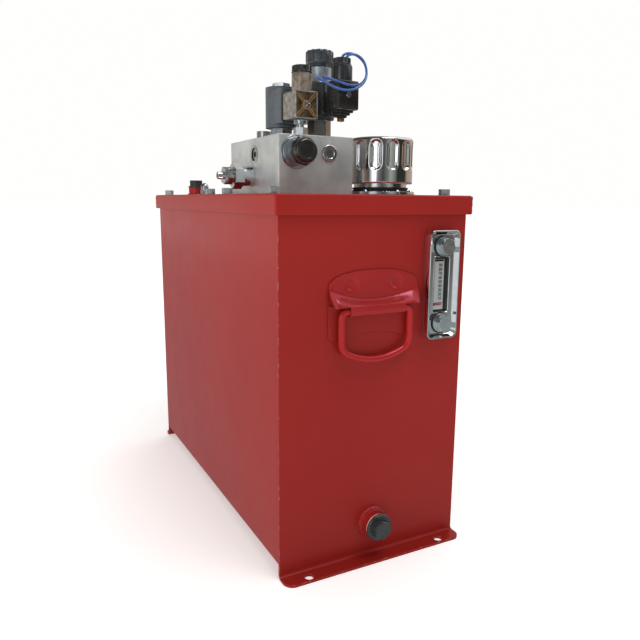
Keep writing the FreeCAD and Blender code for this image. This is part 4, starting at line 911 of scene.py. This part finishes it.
def plug_a():
    """The brown see-through cable plug with ribs crossing its sunken front."""
    z0, z1 = PLUG_A_Z
    plug = Plug(VALVE_A, PLUG_A_Z, 27.1, 56.1, 13.2)
    loop, front, length = plug.loop, plug.front, plug.length
    sunk = 2.0

    def shell(bm):
        loft(bm, [loop(0.5, 0.4, 1.4, 0.0), loop(0.5, 0.4, 1.4, 5.0), loop(0, 0, 1.8, 5.3),
                  loop(0, 0, 1.8, length - 0.5), loop(0.5, 0.5, 1.5, length), loop(1.2, 1.2, 1.0, length),
                  loop(1.4, 1.4, 0.9, length - sunk)], plug.back, cap_last=False)

    def panel(bm):
        loft(bm, [loop(1.45, 1.45, 0.8, -sunk - 0.5), loop(1.45, 1.45, 0.8, -sunk)], front)

    def cross(bm):
        w, h, _, _ = loop(1.6, 1.6, 0, 0)
        reach = math.hypot(w, h)
        for side in (1, -1):
            bar = front @ Matrix.Rotation(side * math.atan2(h, w), 4, "Z")
            for edge in (-1.45, 0.55):
                block(bm, (-reach, edge, -sunk), (reach, edge + 0.9, -0.3), bar)
        lathe(bm, [(0, -sunk), (4.6, -sunk), (4.6, 0.1), (3.4, 0.1), (3.4, -0.8), (0, -0.8)],
              front.translation, front.col[2].to_3d(), 40)

    neck = [(10.4, z1 - 1), (10.4, 481.4), (9.9, 483.1), (6.4, 483.2)]
    foot = [(0, z0 - 3.4), (5.0, z0 - 3.4), (6.6, z0 - 2.4), (6.8, z0 - 0.2), (0, z0 - 0.2)]
    piece("plug_a_shell", shell, "smoked_side", "smoke_plastic", replaces=["plug_a"], smooth=25)
    piece("plug_a_panel", panel, "smoked_front", "smoke_plastic")
    piece("plug_a_ribs", cross, "rib", "smoke_plastic", bevel=0.2)
    turned("plug_a_neck", neck, plug_frame(VALVE_A, 0, 45.5).translation, "smoked_neck", "smoke_plastic")
    plug.gasket("plug_a_gasket", 0.6)
    turned("plug_a_foot", foot, plug_frame(VALVE_A, 0, 43.0).translation, "sleeve", "steel", steps=40)
    plug.screw("plug_a_screw", (0, 0, -0.6), 0.6, 3.1, 1.6)


def plug_b():
    """The black cable plug, with the stepped slope under it."""
    z0, z1 = PLUG_B_Z
    plug = Plug(VALVE_B, PLUG_B_Z, 26.6, 52.8, 13.3)
    loop, length = plug.loop, plug.length
    under = plug_frame(VALVE_B, z0, 26.6)
    tread = 1.9

    def shell(bm):
        loft(bm, [loop(0.4, 0.3, 1.4, 0.0), loop(0.4, 0.3, 1.4, 4.0), loop(0, 0, 1.8, 4.3),
                  loop(0, 0, 1.8, length - 1.2), loop(0.5, 0.5, 1.6, length - 0.3),
                  loop(1.2, 1.2, 1.2, length)], plug.back)

    def slope(bm):
        half = plug.half_w - 1.5
        for i, reach in enumerate((19.0, 13.5, 8.0)):
            block(bm, (-half, -tread * (i + 1), 0.5), (half, -tread * i + 0.05, reach), under)

    neck = [(10.9, z1 - 1), (10.9, 489.6), (10.3, 491.4), (5.6, 491.5), (5.5, 487.0)]
    piece("plug_b_shell", shell, "gloss_black", "black_plastic", bevel=0.3, replaces=["plug_b"])
    piece("plug_b_slope", slope, "satin_black", "black_plastic", bevel=0.5)
    turned("plug_b_neck", neck, plug_frame(VALVE_B, 0, 40.4).translation, "satin_black", "black_plastic")
    piece("plug_b_contact", lambda bm: block(bm, (3.0, -9.6, 2.0), (9.5, -5.6, 7.0), under), "copper",
          "steel", bevel=0.8)
    plug.gasket("plug_b_gasket", 0.4)
    plug.screw("plug_b_screw", (0, -0.2, 0), 1.1, 2.9, 1.1)


def ribbed_nut(name, node, ribs, depth, look):
    """A cable-neck nut with moulded ribs round its grip."""
    centre, low, high = middle_of(node)
    radius = min(high.x - low.x, high.y - low.y) / 2
    base, top = low.z, high.z

    def shape(angle, r, height):
        if r < radius * 0.8 or height < base + 1.5 or height > top - 0.9:
            return r
        return r - depth * (0.5 - 0.5 * math.cos(ribs * angle)) ** 2

    profile = [(5.2, base), *inside(radius, base, (0, 0), (0, 1.2), (0.3, 1.7)),
               *inside(radius, top, (0.3, -1.2), (0.7, -0.3), (1.4, 0)), (6.0, top), (5.3, top - 0.6),
               (5.3, base + 0.1)]
    turned(name, profile, (centre.x, centre.y, 0), look, "black_plastic", steps=ribs * 10, shape=shape,
           replaces=[node])


KNOB_FLUTES = 12
KNOB_FLUTE_DEPTH = 1.5
KNOB_BAND = 6.2  # height of the plain band under the flutes


def override_knob():
    """Broad flutes above a plain band that draws in at the bottom."""
    centre, low, high = middle_of("knob_b")
    radius = (high.x - low.x) / 2
    base, top = low.z, high.z

    def shape(angle, r, height):
        if r < radius * 0.8 or height < base + KNOB_BAND:
            return r
        wave = math.cos(KNOB_FLUTES * angle)
        return r - KNOB_FLUTE_DEPTH * ease(min(1.0, max(0.0, (0.35 - wave) * 1.1)))

    lower = inside(radius, base, (3.0, 0), (2.2, 0.6), (0.7, 3.4), (0.1, 4.4), (0, 5.2),
                   (0, KNOB_BAND - 0.1), (0, KNOB_BAND + 0.1), (0, 10.0))
    upper = inside(radius, top, (0, -1.6), (0.5, -0.6), (1.5, 0), (3.2, 0), (4.2, -0.6))
    turned("override_knob", [(6.2, base), *lower, *upper, (0, top - 0.6)], (centre.x, centre.y, 0), "knob",
           "knob_plastic", steps=KNOB_FLUTES * 16, shape=shape, body="override_knob", replaces=["knob_b"])


def hexagon_collars():
    """The darker steel hexagon under valve B and the ring above its coil."""
    (x, y), _ = VALVE_B
    flats = 11.1
    corner = flats / math.cos(math.pi / 6)
    hexagon = [(9.5, 422.02), (11.4, 422.05), (corner, 423.2), (corner, 440.4), (11.6, 441.9),
               (7.3, 442.1)]
    washer = [(7.2, 479.1), (13.4, 479.1), (13.7, 479.5), (13.4, 480.3), (12.7, 480.4)]
    turned("valve_b_hexagon", hexagon, (x, y, 0), "hex_steel", "steel", steps=180, smooth=20,
           shape=flat_sided(6, flats, math.radians(38.6), lambda r, height: r >= 11.2))
    turned("valve_b_washer", washer, (x, y, 0), "zinc", "zinc")


# ---- drain plug
def drain_plug():
    """A black plug: plain shank, round flange and a hexagon with chamfered corners."""
    centre, low, high = middle_of("drain_plug")
    flats = 8.9
    corner = flats / math.cos(math.pi / 6)
    seat = 12.5
    length = high.y - low.y
    profile = [(0, 0), (9.0, 0), (10.2, 1.2), (10.2, seat), (13.7, seat), (14.1, seat + 0.4),
               (14.1, seat + 1.9), (13.2, seat + 2.9), (corner, seat + 3.0), (corner, seat + 3.1),
               (corner, length - 1.0), (flats - 0.6, length), (6.4, length), (6.0, length - 0.25),
               (0, length - 0.25)]
    sides = flat_sided(6, flats, math.radians(38.0),
                       lambda r, height: height >= seat + 3.05 and r >= flats)
    turned("drain_plug_head", profile, (centre.x, high.y, centre.z), "black_oxide", "black_steel", FRONT,
           144, sides, body="drain_plug", replaces=["drain_plug"], smooth=24)


# ---- pressure cap and ports
PRESSURE_PORT = (-43.5, 404.7)  # x and z on the block's front
FRONT_PORT = (-6.2, -123.2, 404.6)
LEFT_PORT = (-61.9, -56.0, 405.4)


def pressure_cap():
    """The black cap over the pressure nipple: an eight-sided flange and a smooth round end."""
    _, low, high = middle_of("port_cap")
    x, z = PRESSURE_PORT
    flats = 13.5
    corner = flats / math.cos(math.pi / 8)
    end = high.y - low.y
    profile = [(9.9, 0.0), (12.8, 0.0), (corner, 0.8), (corner, 4.2), (13.0, 5.0), (12.4, 5.2),
               (12.3, 5.7), (12.1, end - 3.4), (11.8, end - 2.2), (11.1, end - 1.1), (10.0, end - 0.3),
               (8.6, end), (7.4, end - 0.1), (7.1, end - 0.5), (0, end - 0.5)]
    sides = flat_sided(8, flats, math.radians(10.0), lambda r, height: height <= 5.6 and r >= 12.9)
    turned("pressure_cap", profile, (x, high.y, z), "gloss_black", "black_plastic", FRONT, 160, sides,
           body="port_cover", replaces=["port_cap"], smooth=24)


def port_details():
    """The turned rims round the ports, and the dark thread over the sunk plug, which is painted shade in
    its recess.
    """
    left = (-1, 0, 0)
    x, z = PRESSURE_PORT
    turned("front_plug_rim", [(5.0, 0.02), (5.4, 0.35), (7.2, 0.45), (8.1, 0.30), (8.5, 0.0)], FRONT_PORT,
           "chrome", "steel", FRONT)
    turned("front_plug_socket", [(0, 0.03), (2.0, 0.03), (4.4, 0.03)], FRONT_PORT, "hex_steel", "steel",
           FRONT, 6)
    turned("left_port_rim", [(6.9, 0.2), (7.0, 1.08), (7.3, 1.18), (8.7, 1.14), (9.0, 1.05)], LEFT_PORT,
           "chrome", "steel", left)
    turned("pressure_spotface", [(13.7, 0.02), (13.9, 0.35), (14.5, 0.35), (14.8, 0.05), (15.9, 0.05),
                                 (16.2, 0.40), (16.8, 0.40), (17.1, 0.0)],
           (x, -122.0, z), "bright_zinc", "zinc", FRONT, 72)
    # painted shade: a near-black thread ring stands in for the shade inside the sunk port
    turned("left_port_thread_shade", [(6.0, 0.05), (6.9, 0.1), (6.5, 0.35), (6.9, 0.6), (6.5, 0.85), (6.9, 1.1)],
           LEFT_PORT, "painted_recess_shade", "black_plastic", left)


# ---- welds
def weld_ring(name, centre, axis, radius, size):
    """A hand-laid fillet weld: overlapping ripples round a boss."""
    place = Matrix.Translation(centre) @ turn_to(axis)

    def build(bm):
        steps = 180
        around = 10
        rings = []
        for i in range(steps):
            angle = 2 * math.pi * i / steps
            ripple = size * 0.8 * (1.0 + 0.10 * math.sin(26 * angle) + 0.07 * math.sin(7 * angle + 1.3))
            points = []
            for k in range(around):
                turn = 2 * math.pi * k / around
                r = radius + size * 0.2 + ripple * math.cos(turn)
                points.append((r * math.cos(angle), r * math.sin(angle), ripple * math.sin(turn)))
            rings.append(vertices(bm, place, points))
        skin(bm, rings + rings[:1])

    piece(name, build, "red_glossy", "red_paint", smooth=80)


def lid_corner_welds():
    """A rippled bead down each corner of the folded lid."""
    _, low, high = middle_of("lid")
    bottom, top = low.z + 0.6, high.z - 1.2
    for side, sx, x in (("left", -1, low.x + 1.5), ("right", 1, high.x - 1.5)):
        for end, sy, y in (("front", -1, low.y + 1.5), ("rear", 1, high.y - 1.5)):
            profile = [(0, bottom)]
            for i in range(25):
                ripple = 0.20 * math.sin(i * 1.9 + sx) + 0.14 * math.sin(i * 0.7 + sy)
                profile.append((1.75 + ripple, bottom + (top - bottom) * i / 24))
            profile.append((0, top + 0.3))
            turned(f"lid_weld_{end}_{side}", profile, (x, y, 0), "red_glossy", "red_paint", steps=20,
                   smooth=80)


# ---- leads
LEAD_DIAMETER = 2.5 * MM
LEADS = {
    "blue_lead_1": [
        (6.0, -120.1, 486.8), (6.4, -120.2, 499.0), (13.6, -121.2, 505.0), (26.0, -123.0, 502.6),
        (33.8, -125.4, 494.0), (33.4, -128.3, 481.8), (23.0, -133.4, 472.2), (8.0, -136.0, 470.2),
        (-7.0, -136.8, 473.4), (-21.5, -135.5, 476.2)],
    "blue_lead_2": [
        (10.0, -120.4, 486.8), (10.1, -120.9, 495.5), (13.0, -123.8, 502.0), (20.6, -126.0, 503.2),
        (28.6, -128.4, 498.2), (31.4, -130.6, 489.0), (29.0, -134.4, 478.4), (20.0, -138.2, 469.8),
        (7.5, -139.4, 464.8), (-6.0, -139.8, 465.0), (-17.0, -139.0, 468.8), (-28.6, -137.4, 474.4)],
}


def make_leads():
    for name, route in LEADS.items():
        data = bpy.data.curves.new(name + "_wire", "CURVE")
        data.dimensions = "3D"
        data.bevel_depth = LEAD_DIAMETER / 2
        data.bevel_resolution = 5
        data.resolution_u = 16
        data.use_fill_caps = True
        spline = data.splines.new("NURBS")
        spline.points.add(len(route) - 1)
        for point, place in zip(spline.points, route):
            point.co = (*(Vector(place) * MM), 1)
        spline.order_u = 3
        spline.use_endpoint_u = True
        wire = add_object(name + "_wire", data)
        data.materials.append(LOOK["blue"])
        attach(wire, "tank")
        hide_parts(name)


# ---- put together
bpy.context.scene.view_settings.view_transform = "Standard"
make_camera()
make_world()
make_floor()
make_lights()
make_leads()
dress_frame()
filler_cap()
breather_collar()
level_gauge()
handle_plate("front", 0.0)
handle_plate("rear", math.pi)
plug_a()
plug_b()
ribbed_nut("gland_a_nut", "gland_a", 10, 1.2, "satin_black")
ribbed_nut("gland_b_nut", "gland_b", 8, 1.2, "satin_black")
override_knob()
hexagon_collars()
drain_plug()
pressure_cap()
port_details()
weld_ring("drain_weld", (0, -210.4, 36.0), FRONT, 13.5, 3.0)
weld_ring("lid_port_weld", (-70.0, 137.6, 363.3), (0, 0, 1), 10.0, 1.8)
lid_corner_welds()
